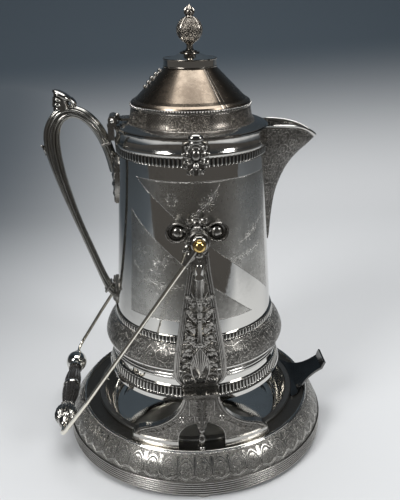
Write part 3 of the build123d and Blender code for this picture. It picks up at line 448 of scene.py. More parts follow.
def both_sides(make, name, material, body, stands_for=None, **facts):
    """The front piece, and its mirror image at the back."""
    for side, flip in (("front", 1.0), ("back", -1.0)):
        bm = placed(make(), Matrix.Diagonal((1.0, flip, 1.0, 1.0)))
        hides = (stands_for + "_" + side,) if stands_for else ()
        finished(bm, name + "_" + side, material, body, hides, **facts)


def on_round(x, z, radius):
    """A point at x and z on the front of a cylinder."""
    return (x, -math.sqrt(radius * radius - x * x), z)


cast = plated("cast silver", bright=(0.40, 0.385, 0.36), dull=(0.11, 0.104, 0.095), amount=0.5, sheen=0.22,
              crevice=1.2)


def engraved_ground(tree):
    """Small flowers on the flat face of a casting."""
    x, y, z = here(tree)
    raised, ground = flowers(tree, x, z, 135.0, 0.1)
    return raised, ground * 0.5, None


engraved_cast = plated("engraved casting", bright=(0.38, 0.365, 0.34), dull=(0.12, 0.113, 0.103), sheen=0.26,
                       pattern=engraved_ground, depth=0.0005)


def foot_mask(tree):
    """The casting is engraved above its plain stepped feet."""
    lift, ground, _ = engraved_ground(tree)
    x, y, z = here(tree)
    radius = (x * x + y * y).op("SQRT")
    face = z.ramp(0.0555, 0.0570) * radius.ramp(0.1283, 0.1287)
    return lift * face, ground * face, (1.0 - face) * 0.6


finish_node(plated("bracket casting", bright=(0.38, 0.365, 0.34), dull=(0.12, 0.113, 0.103), sheen=0.24,
                   pattern=foot_mask, depth=0.0005), "bracket_front", "bracket_back")
finish_node(engraved_cast, "strap_front", "strap_back")
finish_node(cast, "post_front", "post_back")

SHOULDER = [
    (17.4, 110.0), (18.0, 103.0), (23.0, 91.8), (32.0, 81.4), (44.6, 72.0), (57.6, 66.2), (64.5, 62.4),
    (69.6, 56.4)]
ARCH = [(25.2, 46.0), (25.2, 60.0), (24.2, 66.0), (17.6, 74.9), (9.0, 78.6), (5.4, 79.4)]
STRAP_EDGE = [(12.9, 107.0), (12.9, 98.0), (12.9, 89.0), (8.2, 88.8), (7.0, 81.2), (0.0, 73.4)]


def bracket_trim():
    """Rims along the shoulders and the arch, the strap's edge and its leaf, and the rosettes."""
    bm = bmesh.new()
    for s in (1, -1):
        for inset, thick in ((0.2, 1.25), (3.1, 0.6)):
            line = [on_round(s * (x - inset * 0.75), z - inset * 0.75, 129.1) for x, z in SHOULDER]
            join(bm, rod(line, thick, 10, steps=6))
        join(bm, rod([on_round(s * x, z, 129.2) for x, z in ARCH], 0.8, 8, steps=5))
        strap = [on_round(s * x, z, 130.5) for x, z in STRAP_EDGE]
        for a, b in zip(strap, strap[1:]):
            join(bm, rod([a, b], 0.55, 8, steps=2))
        base = moved(*on_round(s * 20.9, 83.0, 128.6)) @ Matrix.Rotation(math.pi / 2, 4, "X")
        rosette = turned([(0.0, 2.3), (1.1, 2.0), (1.6, 1.2), (2.1, 1.0), (3.0, 1.9), (3.9, 1.2), (4.3, 0.0),
                          (0.0, 0.0)], 20)
        join(bm, placed(rosette, base))
        spray = [(27.5, 77.2), (32.5, 72.2), (38.5, 68.0), (45.0, 64.2), (52.0, 61.2), (59.0, 59.6)]
        join(bm, rod([on_round(s * x, z + math.sin(i * 2.2) * 0.9, 129.2) for i, (x, z) in enumerate(spray)],
                     [0.75, 0.55, 0.35]))
        for i, (x, z) in enumerate(spray[:-1]):
            for lean in (1, -1):
                tip = (x + 3.2 + lean * 1.0, z - 0.6 + lean * 3.1)
                mid = (x + 1.2 + lean * 0.9, z + lean * 1.9)
                join(bm, rod([on_round(s * px, pz, 129.3) for px, pz in ((x, z), mid, tip)], [0.35, 0.85, 0.25], 6,
                             steps=3))
    for x, z in ((0, 80), (0, 86), (0, 92), (0, 98), (0, 104)):
        for s in (1, -1):
            sweep = [(0.2 * s, z - 2.6), (3.6 * s, z - 1.6), (6.3 * s, z + 1.4), (4.4 * s, z + 3.2),
                     (2.7 * s, z + 1.2)]
            if z == 80:
                sweep = [(px * 0.55, pz) for px, pz in sweep]
            join(bm, rod([on_round(px, pz, 130.7) for px, pz in sweep], [0.5, 0.75, 0.45], 6, steps=4))
        join(bm, rod([on_round(0, z - 3, 130.7), on_round(0, z + 1, 130.9), on_round(0, z + 3, 130.7)],
                     [0.4, 0.9, 0.3], 6))
    return bm


both_sides(bracket_trim, "bracket_trim", cast, "stand")

# ---- Uprights: two cast openwork frames that carry the pivots. Each is a bent bar with a bead
# inside it, round a stem with a sheath of leaves and a bright cap, over a palmette and a pair of
# scrolled rosettes.
FACE_Y = -114.0          # front of the casting
STEM_Y = -109.6
PIVOT_Z = 273.0          # line of the studs
FRAME_LINE = [
    (13.0, 113.4), (20.2, 116.0), (24.8, 122.0), (25.6, 130.0), (25.4, 137.5), (23.8, 152.0), (19.0, 181.0),
    (14.4, 211.0), (11.0, 232.0), (8.6, 247.0), (7.6, 262.0)]
BEAD_LINE = [
    (14.0, 117.6), (18.6, 119.2), (21.6, 124.0), (22.3, 131.0), (22.0, 138.0), (20.6, 152.0), (16.0, 181.0),
    (11.6, 211.0), (8.6, 229.0), (6.2, 243.0)]


def leaf(length, width, curl=0.5, thick=0.9, lobes=3, side=0.0):
    """A cast leaf along +X with its face to +Z: lobed edges, a groove down the middle and a curled tip."""
    bm = bmesh.new()
    bmesh.ops.create_grid(bm, x_segments=14, y_segments=8, size=0.5)
    for v in bm.verts:
        along, across = v.co.x + 0.5, v.co.y * 2.0
        half = width * 0.5 * math.sin(math.pi * min(1.0, along * 0.94 + 0.05) ** 0.8) ** 0.75
        half *= 1.0 + 0.13 * math.cos(math.tau * lobes * along)
        lift = (1 - across * across) * half * 0.34 - 0.3 * math.exp(-(across * 5.0) ** 2) * half * 0.5
        lift += 0.10 * half * math.cos(math.tau * lobes * along + abs(across) * 2.4)
        bend = curl * along * along
        reach = length * (along - 0.12 * bend * along)
        v.co = Vector((reach * math.cos(bend * 0.5), half * across + side * along * along * length,
                       lift + reach * math.sin(bend * 0.5))) * MM
    bmesh.ops.solidify(bm, geom=bm.faces[:], thickness=thick * MM)
    return bm


def facing(x, y, z, angle=0.0, tip=0.0):
    """Puts a part made along +X, facing +Z, on the front at (x, y, z) mm, turned by angle in the front plane."""
    a = math.radians(angle)
    along, out = Vector((math.cos(a), 0, math.sin(a))), Vector((0, -1, 0))
    side = out.cross(along)
    turn = Matrix((along, side, out)).transposed().to_4x4()
    return moved(x, y, z) @ turn @ Matrix.Rotation(math.radians(-tip), 4, "Y")


def ball(radius, sides=12, stretch=(1, 1, 1)):
    bm = bmesh.new()
    bmesh.ops.create_uvsphere(bm, u_segments=sides, v_segments=max(4, sides * 2 // 3), radius=radius * MM)
    return placed(bm, Matrix.Diagonal((*stretch, 1.0)))


def block(x, y, z, ease=0.0, segments=2):
    """A block with eased edges, in mm."""
    bm = bmesh.new()
    bmesh.ops.create_cube(bm, size=1.0, matrix=Matrix.Diagonal((x * MM, y * MM, z * MM, 1)))
    if ease:
        bmesh.ops.bevel(bm, geom=bm.edges[:], offset=ease * MM, segments=segments, affect="EDGES", profile=0.5,
                        material=-1)
    return bm


def plate(outline, y, thick):
    """A flat plate in the front plane, drawn by one half of its outline."""
    bm = bmesh.new()
    ring = [bm.verts.new((x * MM, y * MM, z * MM)) for x, z in outline + [(-x, z) for x, z in outline[-2:0:-1]]]
    pushed = bmesh.ops.extrude_face_region(bm, geom=[bm.faces.new(ring)], use_keep_orig=True)
    bmesh.ops.translate(bm, verts=[v for v in pushed["geom"] if isinstance(v, bmesh.types.BMVert)],
                        vec=(0, thick * MM, 0))
    return bm


def toward(s, angle):
    """An angle in the front plane, or its mirror image on the other side."""
    return angle if s > 0 else 180 - angle


def lay_leaf(bm, size, place, angle=0.0, tip=0.0, onto=Matrix()):
    """Lays a leaf on the front at place, with size as leaf() takes it."""
    join(bm, placed(leaf(*size), onto @ facing(*place, angle, tip)))


def spiral(radius, turns=2.2, thick=0.8):
    """A flat scroll that faces +Z."""
    line = []
    for i in range(int(turns * 10) + 1):
        r, a = radius * (1 - i / (turns * 10 + 2)), math.tau * i / 10
        line.append((r * math.cos(a), r * math.sin(a), 0.8 * (1 - r / radius)))
    return rod(line, [thick, thick * 0.6], 8, steps=2)


def upright_casting():
    bm = bmesh.new()
    bars = [(2.15, FRAME_LINE, FACE_Y + 3.4), (0.8, BEAD_LINE, FACE_Y + 2.0)]
    for s in (1, -1):
        for thick, line, y in bars:
            join(bm, rod([(s * x, y, z) for x, z in line], thick, 12, steps=6))
        join(bm, rod([(s * x * 0.93, FACE_Y + 1.2, z + 0.3) for x, z in FRAME_LINE[1:]], 0.55, 8, steps=6))
        # back web that the leaves lie on
        for z in range(136, 226, 9):
            inner, outer = 5.4 + 1.2 * math.sin(z), 24.4 - (z - 137) * 0.148
            join(bm, rod([(s * inner, FACE_Y + 5.2, z - 3), (s * (inner + outer) / 2, FACE_Y + 5.8, z + 1),
                          (s * outer, FACE_Y + 5.2, z + 4)], [1.1, 1.5, 1.1], 6))
        # pairs of leaves that climb beside the stem, the highest with its tip turned out
        for z, tall, wide, lean in ((129, 20, 8.6, 74), (143, 21, 8.4, 70), (158, 21, 8.0, 68),
                                    (173, 21, 7.4, 66), (188, 21, 6.8, 65), (203, 21, 6.2, 66)):
            x = 7.6 if z < 150 else 5.4
            angle = toward(s, lean)
            lay_leaf(bm, (tall, wide, 0.55, 1.0, 3, -s * 0.10), (s * x, FACE_Y + 4.4, z), angle, 4)
            frond_x = min(18.0, 22.5 - (z - 129) * 0.155)
            lay_leaf(bm, (tall * 0.62, wide * 0.6, 0.8, 0.9, 2, s * 0.25), (s * frond_x, FACE_Y + 4.2, z + 4),
                     180 - angle + s * 22, 4)
            join(bm, placed(spiral(2.1, 1.5, 0.6), facing(s * (frond_x - 1.6), FACE_Y + 3.0, z + 1, 90 + s * 30)))
        # scrolled rosettes, with the bar curling into them
        boss = turned([(0, 1.6), (1.3, 1.2), (2.0, 0.2), (6.9, 0.0), (7.4, 0.5), (7.4, -5.0), (0, -5.0)], 28)
        join(bm, placed(boss, facing(s * 12.4, FACE_Y + 1.4, 121.6)))
        join(bm, placed(spiral(6.7, 2.3, 0.95), Matrix.Diagonal((s, 1, 1, 1)) @ facing(12.4, FACE_Y + 1.1, 121.6,
                                                                                       200)))
    # foot plate and neck between the rosettes
    join(bm, placed(block(37.0, 7.4, 4.6, 0.8), moved(0, -110.0, 114.3)))
    # palmette: a pointed shield of fanned ribs inside a rim
    shield = [(0.0, 114.5), (5.0, 117.5), (8.4, 126.0), (10.2, 135.0), (9.4, 143.0), (5.6, 151.0), (0.0, 158.6)]
    join(bm, plate(shield, FACE_Y + 1.9, 4.6))
    for s in (1, -1):
        join(bm, rod([(s * x, FACE_Y + 1.5, z) for x, z in shield[1:]], [0.8, 1.05, 1.1, 1.0, 0.9], 8, steps=6))
    for angle in range(-72, 73, 9):
        a, far = math.radians(angle), 27.0 * math.cos(math.radians(angle)) ** 0.8 + 6.5
        line = [(math.sin(a) * r * (1 - r / 70), FACE_Y + 1.6 - 0.5 * math.sin(r / far * 3),
                 124.5 + math.cos(a) * r)
                for r in (1.5, far * 0.45, far * 0.8, far)]
        join(bm, rod([p for p in line if abs(p[0]) < 8.8], [0.35, 0.75, 0.95, 0.5], 6))
    join(bm, placed(ball(2.4, 12, (1, 1, 0.6)), facing(0, FACE_Y + 1.4, 124.0)))
    join(bm, rod([(-5.4, FACE_Y + 1.2, 117.0), (-4.0, FACE_Y + 0.8, 122.0), (0, FACE_Y + 0.6, 124.2),
                  (4.0, FACE_Y + 0.8, 122.0), (5.4, FACE_Y + 1.2, 117.0)], 0.6, 8))
    # stem: foot flare, reeded shaft and two leafy sheaths; the bright cap is stem_cap below
    stem = turned([(0, 157.0), (3.4, 157.0), (4.4, 160.0), (3.0, 164.0), (2.5, 176.0), (2.6, 189.0), (3.9, 192.6),
                   (3.4, 200.0), (3.1, 207.0), (5.3, 211.5), (4.5, 216.0), (4.7, 226.0), (5.1, 233.4),
                   (5.2, 235.0), (0, 235.0)],
                  36)
    for v in stem.verts:
        turn = math.atan2(v.co.y, v.co.x)
        fluted = 1.0 + 0.05 * math.cos(9 * turn) * (v.co.z < 0.234)
        v.co.x, v.co.y = v.co.x * fluted, v.co.y * fluted * 0.86
    join(bm, placed(stem, moved(0, STEM_Y, 0)))
    for low, wide, tall in ((186.5, 4.4, 7.5), (205.5, 6.2, 9.0), (158.0, 4.2, 6.5)):
        for x, angle in ((-wide * 0.7, 112), (0.0, 90), (wide * 0.7, 68)):
            y = FACE_Y + (0.9 if x == 0 else 2.2)
            lay_leaf(bm, (tall, wide * 0.85, 0.3, 0.7, 2), (x, y, low), angle, -6)
    for s in (1, -1):
        tips = [(s * 3.6, FACE_Y + 3.4, 212.0), (s * 6.6, FACE_Y + 3.2, 217.0), (s * 9.4, FACE_Y + 3.0, 222.4)]
        join(bm, rod(tips, [1.4, 1.1, 0.4], 8))
    # narrow head behind the pivot, and its eye
    join(bm, placed(block(13.0, 5.6, 15.0), moved(0, -110.4, 257.5)))
    eye = turned([(4.05, 0.0), (10.2, 0.0), (11.0, 0.8), (11.0, 7.2), (10.2, 8.0), (8.6, 8.0), (8.2, 7.4),
                  (4.05, 7.4)], 40)
    join(bm, placed(eye, facing(0, -106.0, PIVOT_Z)))
    return bm


both_sides(upright_casting, "upright_casting", cast, "stand", "upright")


def stem_cap():
    cap = turned([(0, 233.6), (5.3, 233.6), (5.5, 235.4), (4.7, 236.6), (4.9, 240.0), (5.0, 244.0), (4.5, 247.6),
                  (3.2, 250.2), (1.4, 251.4), (0, 251.6)], 32)
    return placed(cap, moved(0, STEM_Y, 0) @ Matrix.Diagonal((1, 0.86, 1, 1)))


mirror_plate = plated("polished plate", dull=MID, amount=0.34, sheen=0.05, crevice=0.9)
both_sides(stem_cap, "stem_cap", mirror_plate, "stand", slot="bright_silver")

# Pivots: the studs are plated like the rod, and the knobs are worn through to their brass.
worn_brass = plated("worn brass", bright=(0.86, 0.62, 0.24), dull=(0.42, 0.26, 0.09), amount=0.45, sheen=0.16,
                    crevice=1.0)
finish_node(worn_brass, "pivot_knob_front", "pivot_knob_back")
rod_plate = plated("bail rod plate", bright=(0.93, 0.885, 0.78), dull=(0.60, 0.54, 0.41), amount=0.32, sheen=0.13,
                   crevice=0.4)
finish_node(rod_plate, "pivot_stud_front", "pivot_stud_back", "bail_arm_front", "bail_arm_back", "grip_spindle")
finish_node(plated("dark rest", bright=(0.2, 0.2, 0.195), dull=(0.06, 0.06, 0.058), amount=0.55, sheen=0.12,
                   crevice=0.5), "cup_rest")

# ---- Pitcher body: a raised shell on a moulded foot. Satin panels with bright-cut flowers lie each
# side of a polished diagonal sash, and fluted bands were soldered on above and below them.


def push(vert, new):
    """Moves a point in or out to a new radius."""
    radius = math.hypot(vert.co.x, vert.co.y)
    vert.co.x, vert.co.y = vert.co.x * new / radius, vert.co.y * new / radius


def fluted_band(low, high, inner, foot_r, head_r, count, depth, window=0.0):
    """A ring with rounded upright pegs all round it."""
    levels = [0.0, 0.05, 0.12, 0.3, 0.5, 0.7, 0.88, 0.95, 1.0]
    outer = [(foot_r + (head_r - foot_r) * t, low + (high - low) * t) for t in levels]
    bm = turned([(inner, low)] + outer + [(inner, high)], count * 6)
    for v in bm.verts:
        radius, turn = math.hypot(v.co.x, v.co.y), math.atan2(v.co.y, v.co.x)
        t = (v.co.z / MM - low) / (high - low)
        if radius > (inner + 0.3) * MM:
            peg = max(0.0, 0.15 + 0.85 * math.cos(turn * count)) ** 0.5
            end = min(1.0, t / 0.12, (1 - t) / 0.12)
            new = radius - depth * MM * (1.0 - peg * math.sqrt(max(0.0, end)) if 0.04 < t < 0.96 else 0.25)
            push(v, new)
    if window:
        bmesh.ops.delete(bm, geom=[f for f in bm.faces if f.calc_center_median().x > 0
                                   and abs(f.calc_center_median().y) < window * MM], context="FACES")
        bmesh.ops.holes_fill(bm, edges=bm.edges, sides=0)
    return bm


def grooves(count, low, high):
    """The gaps between the pegs hold black dirt."""
    def pattern(tree):
        turn, height, _ = around(tree)
        gap = (turn * float(count)).op("COSINE").ramp(0.1, 0.5, 1.0, 0.0)
        height = height * 1000.0
        gap = gap * height.ramp(low + 0.9, low + 1.4) * height.ramp(high - 1.4, high - 0.9, 1.0, 0.0)
        return gap * -0.5, gap * 0.92, (1.0 - gap) * 0.5
    return pattern


bands = (("foot_band", 90.3, 101.0, 93.0, 99.6, 97.4, 138, 1.3, 0),
         ("lower_band", 151.0, 158.0, 88.4, 91.0, 90.3, 132, 1.2, 0),
         ("upper_band", 338.0, 347.5, 78.4, 80.5, 80.9, 116, 1.1, 15.0))
for name, low, high, inner, foot_r, head_r, count, depth, window in bands:
    band = fluted_band(low, high, inner, foot_r, head_r, count, depth, window)
    metal = plated(name + " metal", bright=(0.50, 0.485, 0.45), dull=(0.13, 0.125, 0.115), amount=0.42, sheen=0.18,
                   crevice=1.0,
                   pattern=grooves(count, low, high))
    finished(band, name + "_pegs", metal, "pitcher", (name,), "bright_silver", 60)

FLOWERS = [
    (-47.0, 214.5, 13.5, 22), (-38.6, 238.0, 9.5, 16), (44.8, 239.0, 8.5, 14), (10.9, 300.0, 9.0, 16),
    (19.0, 309.0, 7.0, 12), (-62.0, 246.0, 7.0, 12), (66.0, 262.0, 10.0, 18), (-26.0, 305.0, 7.5, 14),
    (28.0, 198.0, 6.0, 12)]
STEMS = [
    (-47.0, 214.5, -0.35, 0.010, -75, -8), (-38.6, 238.0, 0.75, -0.012, -70, -26),
    (10.9, 300.0, 1.05, 0.02, -6, 26), (44.8, 239.0, 0.08, 0.004, 24, 84), (66.0, 262.0, 0.5, 0.006, 46, 90)]


def body_panels(tree):
    """Which parts are satin, which are polished, and the cuts of the graver."""
    x, y, z = here(tree)
    u = x.op("ARCTAN2", y.op("ABSOLUTE")) * 84.0
    z = z * 1000.0
    over = z - (322.4 - (u + 67.5) * 0.822)
    under = (288.5 - (u + 78.0) * 0.81) - z
    upper = over.op("MINIMUM", 323.4 - z).op("MINIMUM", 97.0 - u)
    lower = under.op("MINIMUM", z - 174.5).op("MINIMUM", u + 79.0)
    panel = upper.op("MAXIMUM", lower)
    satin = panel.ramp(-0.2, 0.2)
    cuts = panel.near(0.5, 0.7)
    for cu, cz, size, count in FLOWERS:
        dx, dz = u - cu, z - cz
        away, angle = (dx * dx + dz * dz).op("SQRT"), dz.op("ARCTAN2", dx)
        petal = (angle * 3.0).op("COSINE").op("ABSOLUTE") * (size * 0.35) + size * 0.65
        rays = (angle * float(count) + away * 0.35).op("SINE").ramp(0.3, 0.8)
        cuts = cuts.op("MAXIMUM", rays * away.ramp(size * 0.14, size * 0.2) * (petal - away).ramp(0.0, 1.2))
    for cu, cz, slope, bow, start, end in STEMS:
        du = u - cu
        line = (z - cz) - du * slope - du * du * bow
        cuts = cuts.op("MAXIMUM", line.near(0.0, 0.55) * u.ramp(start, start + 2.0) * (end - u).ramp(0.0, 2.0))
        beside = line.op("ABSOLUTE") - (du * 0.55).op("SINE").op("ABSOLUTE") * 2.6
        leaves = beside.op("ABSOLUTE").ramp(0.25, 0.55, 1.0, 0.0)
        cuts = cuts.op("MAXIMUM", leaves * u.ramp(start, start + 2.0) * (end - u).ramp(0.0, 2.0) * 0.45)
    cuts = cuts * satin
    return cuts * -1.0, satin * 0.10, (1.0 - satin).op("MAXIMUM", cuts * 0.22)


finish_node(plated("satin panels", bright=(0.60, 0.585, 0.55), dull=(0.20, 0.19, 0.175), amount=0.48, sheen=0.25,
                   crevice=0.5,
                   pattern=body_panels, depth=0.00035), "body_shell")


def round_flowers(radius, cells, line=0.07, petals=5.0, deep=0.5, polish_above=None):
    """Engraved flowers that run round a turned piece."""
    def pattern(tree):
        turn, height, _ = around(tree)
        lift, ground = flowers(tree, turn * radius, height, cells, line, Petals=petals)
        ground = ground * deep
        if polish_above is None:
            return lift, ground, None
        low, high = polish_above
        plain = height.ramp(high, high + 0.0003) + height.ramp(low - 0.0003, low, 1.0, 0.0)
        return lift * (1.0 - plain), ground * (1.0 - plain), plain
    return pattern


finish_node(plated("engraved bulge", bright=(0.42, 0.405, 0.375), dull=(0.15, 0.142, 0.13), amount=0.48,
                   sheen=0.22, depth=0.0007,
                   pattern=round_flowers(0.100, 80.0, 0.09, 6.0, 0.8, (0.1262, 0.1496))), "bulge_band")


def moulding_tone(tree):
    """The neck above the fluted foot is polished, and the hollow of the double bead is dark."""
    _, height, _ = around(tree)
    dark = height.ramp(0.1165, 0.1185) * 0.75 + height.near(0.1134, 0.0009) * 0.7
    return height * 0.0, dark, height.ramp(0.1092, 0.1100, 1.0, 0.0)


finish_node(plated("double moulding", dull=MID, amount=0.42, sheen=0.12, pattern=moulding_tone), "waist_moulding")
finish_node(mirror_plate, "foot_ring", "lid_cap", "grip_ring", "hinge_pin", "grip_ball_back")
inner_plate = plated("inner metal", bright=(0.5, 0.5, 0.49), dull=(0.25, 0.25, 0.24), sheen=0.35, crevice=0.5)
finish_node(inner_plate, "bottom_plate", "liner", "lid_liner", "finial_nut")
finish_node(plated("polished collar", dull=(0.30, 0.27, 0.23), amount=0.45, sheen=0.08, crevice=0.8), "rim_collar")

# ---- Spout: raised in one sheet with the lip cut to a long curve. Its sides are engraved all over,
# up to a plain border that follows the lip.
LIP = [
    (86.0, 364.6), (97.0, 364.2), (108.0, 363.0), (116.0, 361.3), (122.0, 358.6), (128.0, 354.8), (134.0, 349.4),
    (140.0, 343.0)]


def spout_engraving(tree):
    x, y, z = here(tree)
    curve = tree.nodes.new("ShaderNodeFloatCurve")
    low, high = LIP[0][0], LIP[-1][0]
    tree.links.new(((x * 1000.0 - low) / (high - low)).out, curve.inputs["Value"])
    points = curve.mapping.curves[0].points
    for i, (px, pz) in enumerate(LIP):
        spot = ((px - low) / (high - low), (pz - 340.0) / 30.0)
        if i in (0, len(LIP) - 1):
            points[0 if i == 0 else -1].location = spot
        else:
            points.new(*spot)
    curve.mapping.update()
    below = Term(tree, curve.outputs[0]) * 30.0 + 340.0 - z * 1000.0
    border = below.ramp(3.6, 4.0, 1.0, 0.0)
    edge = below.near(4.4, 0.5)
    raised, ground = flowers(tree, x + y * 0.6, z, 95.0, 0.10)
    inside = 1.0 - border
    return raised * inside + edge, ground * 0.85 * inside, border * 0.7


finish_node(plated("engraved spout", bright=(0.34, 0.325, 0.30), dull=(0.11, 0.104, 0.095), sheen=0.22,
                   depth=0.0006,
                   pattern=spout_engraving), "spout")
LIP_EDGE = [
    (84.0, 22.6, 364.4), (92.0, 20.4, 364.3), (100.0, 18.2, 363.8), (108.0, 15.4, 362.6), (116.0, 12.0, 360.4),
    (122.0, 9.6, 357.8), (127.0, 7.2, 354.8), (130.6, 4.6, 352.0), (133.0, 1.8, 350.0)]


def lip_bead():
    """The rolled edge of the lip, a little heavier at the tip."""
    line = [(x, y, z) for x, y, z in LIP_EDGE] + [(x, -y, z) for x, y, z in reversed(LIP_EDGE)]
    return rod(line, [1.0, 1.1, 1.5, 2.0, 1.5, 1.1, 1.0], 12, steps=4)


finished(lip_bead(), "spout_lip_bead", plated("lip bead", dull=MID, amount=0.42, sheen=0.12), "pitcher",
         slot="bright_silver")

# ---- Trunnions: a cast palmette soldered to each side of the shell, with a hub that turns on the
# stand's stud between two deep rimmed bosses, each with a dome in it.
BOSS_X = 19.2           # hub to boss


def trunnion_casting():
    bm = bmesh.new()
    for s in (1, -1):
        cup = turned([(0, -14), (9.6, -14), (10.4, -1.6), (10.7, -0.4), (10.2, 0.5), (9.2, 0.4), (8.3, -0.8),
                      (7.5, -4.4), (5.9, -4.8), (5.6, -2.8), (4.6, -1.3), (2.6, -0.4), (0, -0.1)], 40)
        for v in cup.verts:
            if v.co.z > -0.006 and v.co.length > 0.007:      # pear shape: drawn out away from the hub
                v.co.x += s * 0.0009 * (1 + s * v.co.x / 0.0107)
        join(bm, placed(cup, facing(0, -91.2, 275.0) @ moved(s * BOSS_X, 0, 0)))
        for x, z, long, wide, angle in ((3.0, 279.5, 13.0, 8.0, 62), (5.0, 275.5, 11.0, 6.8, 22),
                                        (4.2, 268.5, 13.5, 7.0, -44), (2.4, 264.5, 12.0, 6.6, -72)):
            turn = toward(s, angle)
            lay_leaf(bm, (long, wide, 0.35, 1.4, 3, -s * 0.08), (s * x, -88.4, z), turn, 3)
        join(bm, placed(spiral(3.1, 1.7, 0.75), facing(s * 8.4, -89.0, 286.0, 90 - s * 40)))
        join(bm, placed(spiral(2.7, 1.7, 0.7), facing(s * 7.6, -88.8, 263.5, 270 + s * 40)))
    lay_leaf(bm, (13.5, 8.6, 0.3, 1.4, 4), (0, -88.8, 278.5), 90, 3)
    lay_leaf(bm, (14.0, 7.6, 0.3, 1.4, 4), (0, -88.6, 268.0), 270, 3)
    shield = [(0, 289.6), (6.4, 286.4), (12.4, 279.0), (11.0, 271.0), (6.0, 264.4), (0, 259.4)]
    join(bm, plate(shield, -87.9, 8.0))
    hub = turned([(4.15, 0), (8.2, 0), (8.6, 1.2), (8.0, 2.2), (7.2, 3.0), (7.2, 12.0), (7.8, 13.0), (7.8, 14.2),
                  (6.6, 15.0), (4.15, 15.0)], 40)
    join(bm, placed(hub, facing(0, -89.6, PIVOT_Z)))
    return bm


both_sides(trunnion_casting, "trunnion_casting", cast, "pitcher", "trunnion")

# ---- Rim ornaments: a cast shield on each side of the rim, with ribbed wings, a plain boss, a small
# dome on top and scrolled legs that reach over the fluted band.


def rim_casting():
    bm = bmesh.new()
    y = -84.0
    shield = [(0, 329.8), (5.4, 334.0), (11.0, 339.8), (12.2, 348.0), (13.6, 358.6), (7.0, 363.2), (0, 363.8)]
    join(bm, plate(shield, y + 1.0, 4.4))
    for s in (1, -1):
        for x, z, long, wide, angle in ((1.6, 352.0, 13.5, 7.6, 36), (1.8, 349.0, 13.5, 7.0, 12),
                                        (1.6, 346.0, 12.0, 6.6, -14), (1.0, 356.0, 10.0, 6.0, 64)):
            turn = toward(s, angle)
            lay_leaf(bm, (long, wide, 0.5, 1.2, 3, s * 0.06), (s * x, y + 0.8, z), turn, 2)
        for z, far in ((342.0, 9.6), (335.6, 6.2)):
            join(bm, rod([(s * 1.4, y + 0.4, z + 2.4), (s * far * 0.6, y, z + 1.4), (s * far, y + 0.4, z - 1.0)],
                         [1.2, 1.5, 1.0], 10))
            join(bm, placed(spiral(2.6, 1.6, 0.8), facing(s * far, y - 0.4, z - 1.4, 90 - s * 60)))
        join(bm, rod([(s * 0.8, y - 0.6, 343.0), (s * 3.2, y - 0.4, 337.0), (s * 2.4, y, 331.4)], [1.1, 1.3, 0.7],
                     8))
    join(bm, placed(ball(4.4, 20, (1.0, 0.62, 1.25)), moved(0, y - 0.6, 351.0)))
    lay_leaf(bm, (7.0, 5.4, 0.3, 0.9, 2), (0, y - 1.6, 343.6), 270)
    for x in (-3.4, 0.0, 3.4):
        lay_leaf(bm, (7.0, 3.6, 0.4, 0.9, 2), (x, y + 0.2, 356.0), 90 - x * 7, -4)
    return bm


def rim_dome():
    dome = placed(ball(4.7, 24, (1.62, 1.0, 0.92)), moved(0, -84.6, 367.2))
    collar = turned([(0, 0), (6.6, 0), (7.0, 0.9), (6.2, 1.8), (0, 1.8)], 32)
    return join(dome, placed(collar, moved(0, -84.2, 362.6) @ Matrix.Diagonal((1, 0.56, 1, 1))))


both_sides(rim_casting, "rim_casting", cast, "pitcher", "rim_ornament")
both_sides(rim_dome, "rim_dome", plated("toned dome", bright=MID, dull=DULL, amount=0.5, sheen=0.12), "pitcher",
           slot="bright_silver")

# ---- Handle: a cast bar of rounded reeds with a twisted cord let into each side, held to the shell by
# two pointed leaf sheaths, and topped by a thumb-piece of four lobes.
HANDLE_PAIRS = [
    ((-86.0, 178.0), (-86.0, 164.0)), ((-91.0, 178.6), (-93.0, 166.0)), ((-95.0, 184.6), (-100.4, 176.0)),
    ((-99.4, 193.2), (-105.6, 190.6)), ((-105.4, 210.0), (-110.6, 205.6)), ((-111.2, 227.0), (-116.2, 221.8)),
    ((-116.8, 242.6), (-121.6, 237.6)), ((-121.8, 257.2), (-127.6, 254.8)), ((-126.6, 273.4), (-134.4, 273.8)),
    ((-130.8, 289.8), (-140.2, 291.0)), ((-134.4, 304.6), (-145.6, 308.6)), ((-137.4, 319.0), (-149.8, 324.0)),
    ((-139.6, 336.0), (-153.6, 338.6)), ((-140.0, 351.0), (-154.6, 352.6)), ((-138.2, 363.6), (-152.6, 364.8)),
    ((-132.6, 372.6), (-143.4, 380.6)), ((-121.6, 376.8), (-126.0, 388.8)), ((-109.4, 370.2), (-105.6, 379.0)),
    ((-100.2, 358.8), (-94.6, 364.8)), ((-93.4, 345.4), (-86.6, 347.0)), ((-88.6, 331.0), (-81.4, 329.0)),
    ((-85.0, 316.0), (-80.6, 315.0))]


def handle_line(share, y):
    """A line along the handle, from its inner edge (0) to its outer edge (1)."""
    return [(a[0] + (b[0] - a[0]) * share, y, a[1] + (b[1] - a[1]) * share) for a, b in HANDLE_PAIRS]


def spaced(points, gap, steps=8):
    """Evenly spaced places, in mm, on the smooth line through the points."""
    line = smooth_line(points, steps)
    path = [v.co.copy() for v in line.verts]
    line.free()
    places, left = [], 0.0
    for a, b in zip(path, path[1:]):
        run = (b - a).length
        while left < run:
            places.append((a.lerp(b, left / run), (b - a).normalized()))
            left += gap
        left -= run
    return places


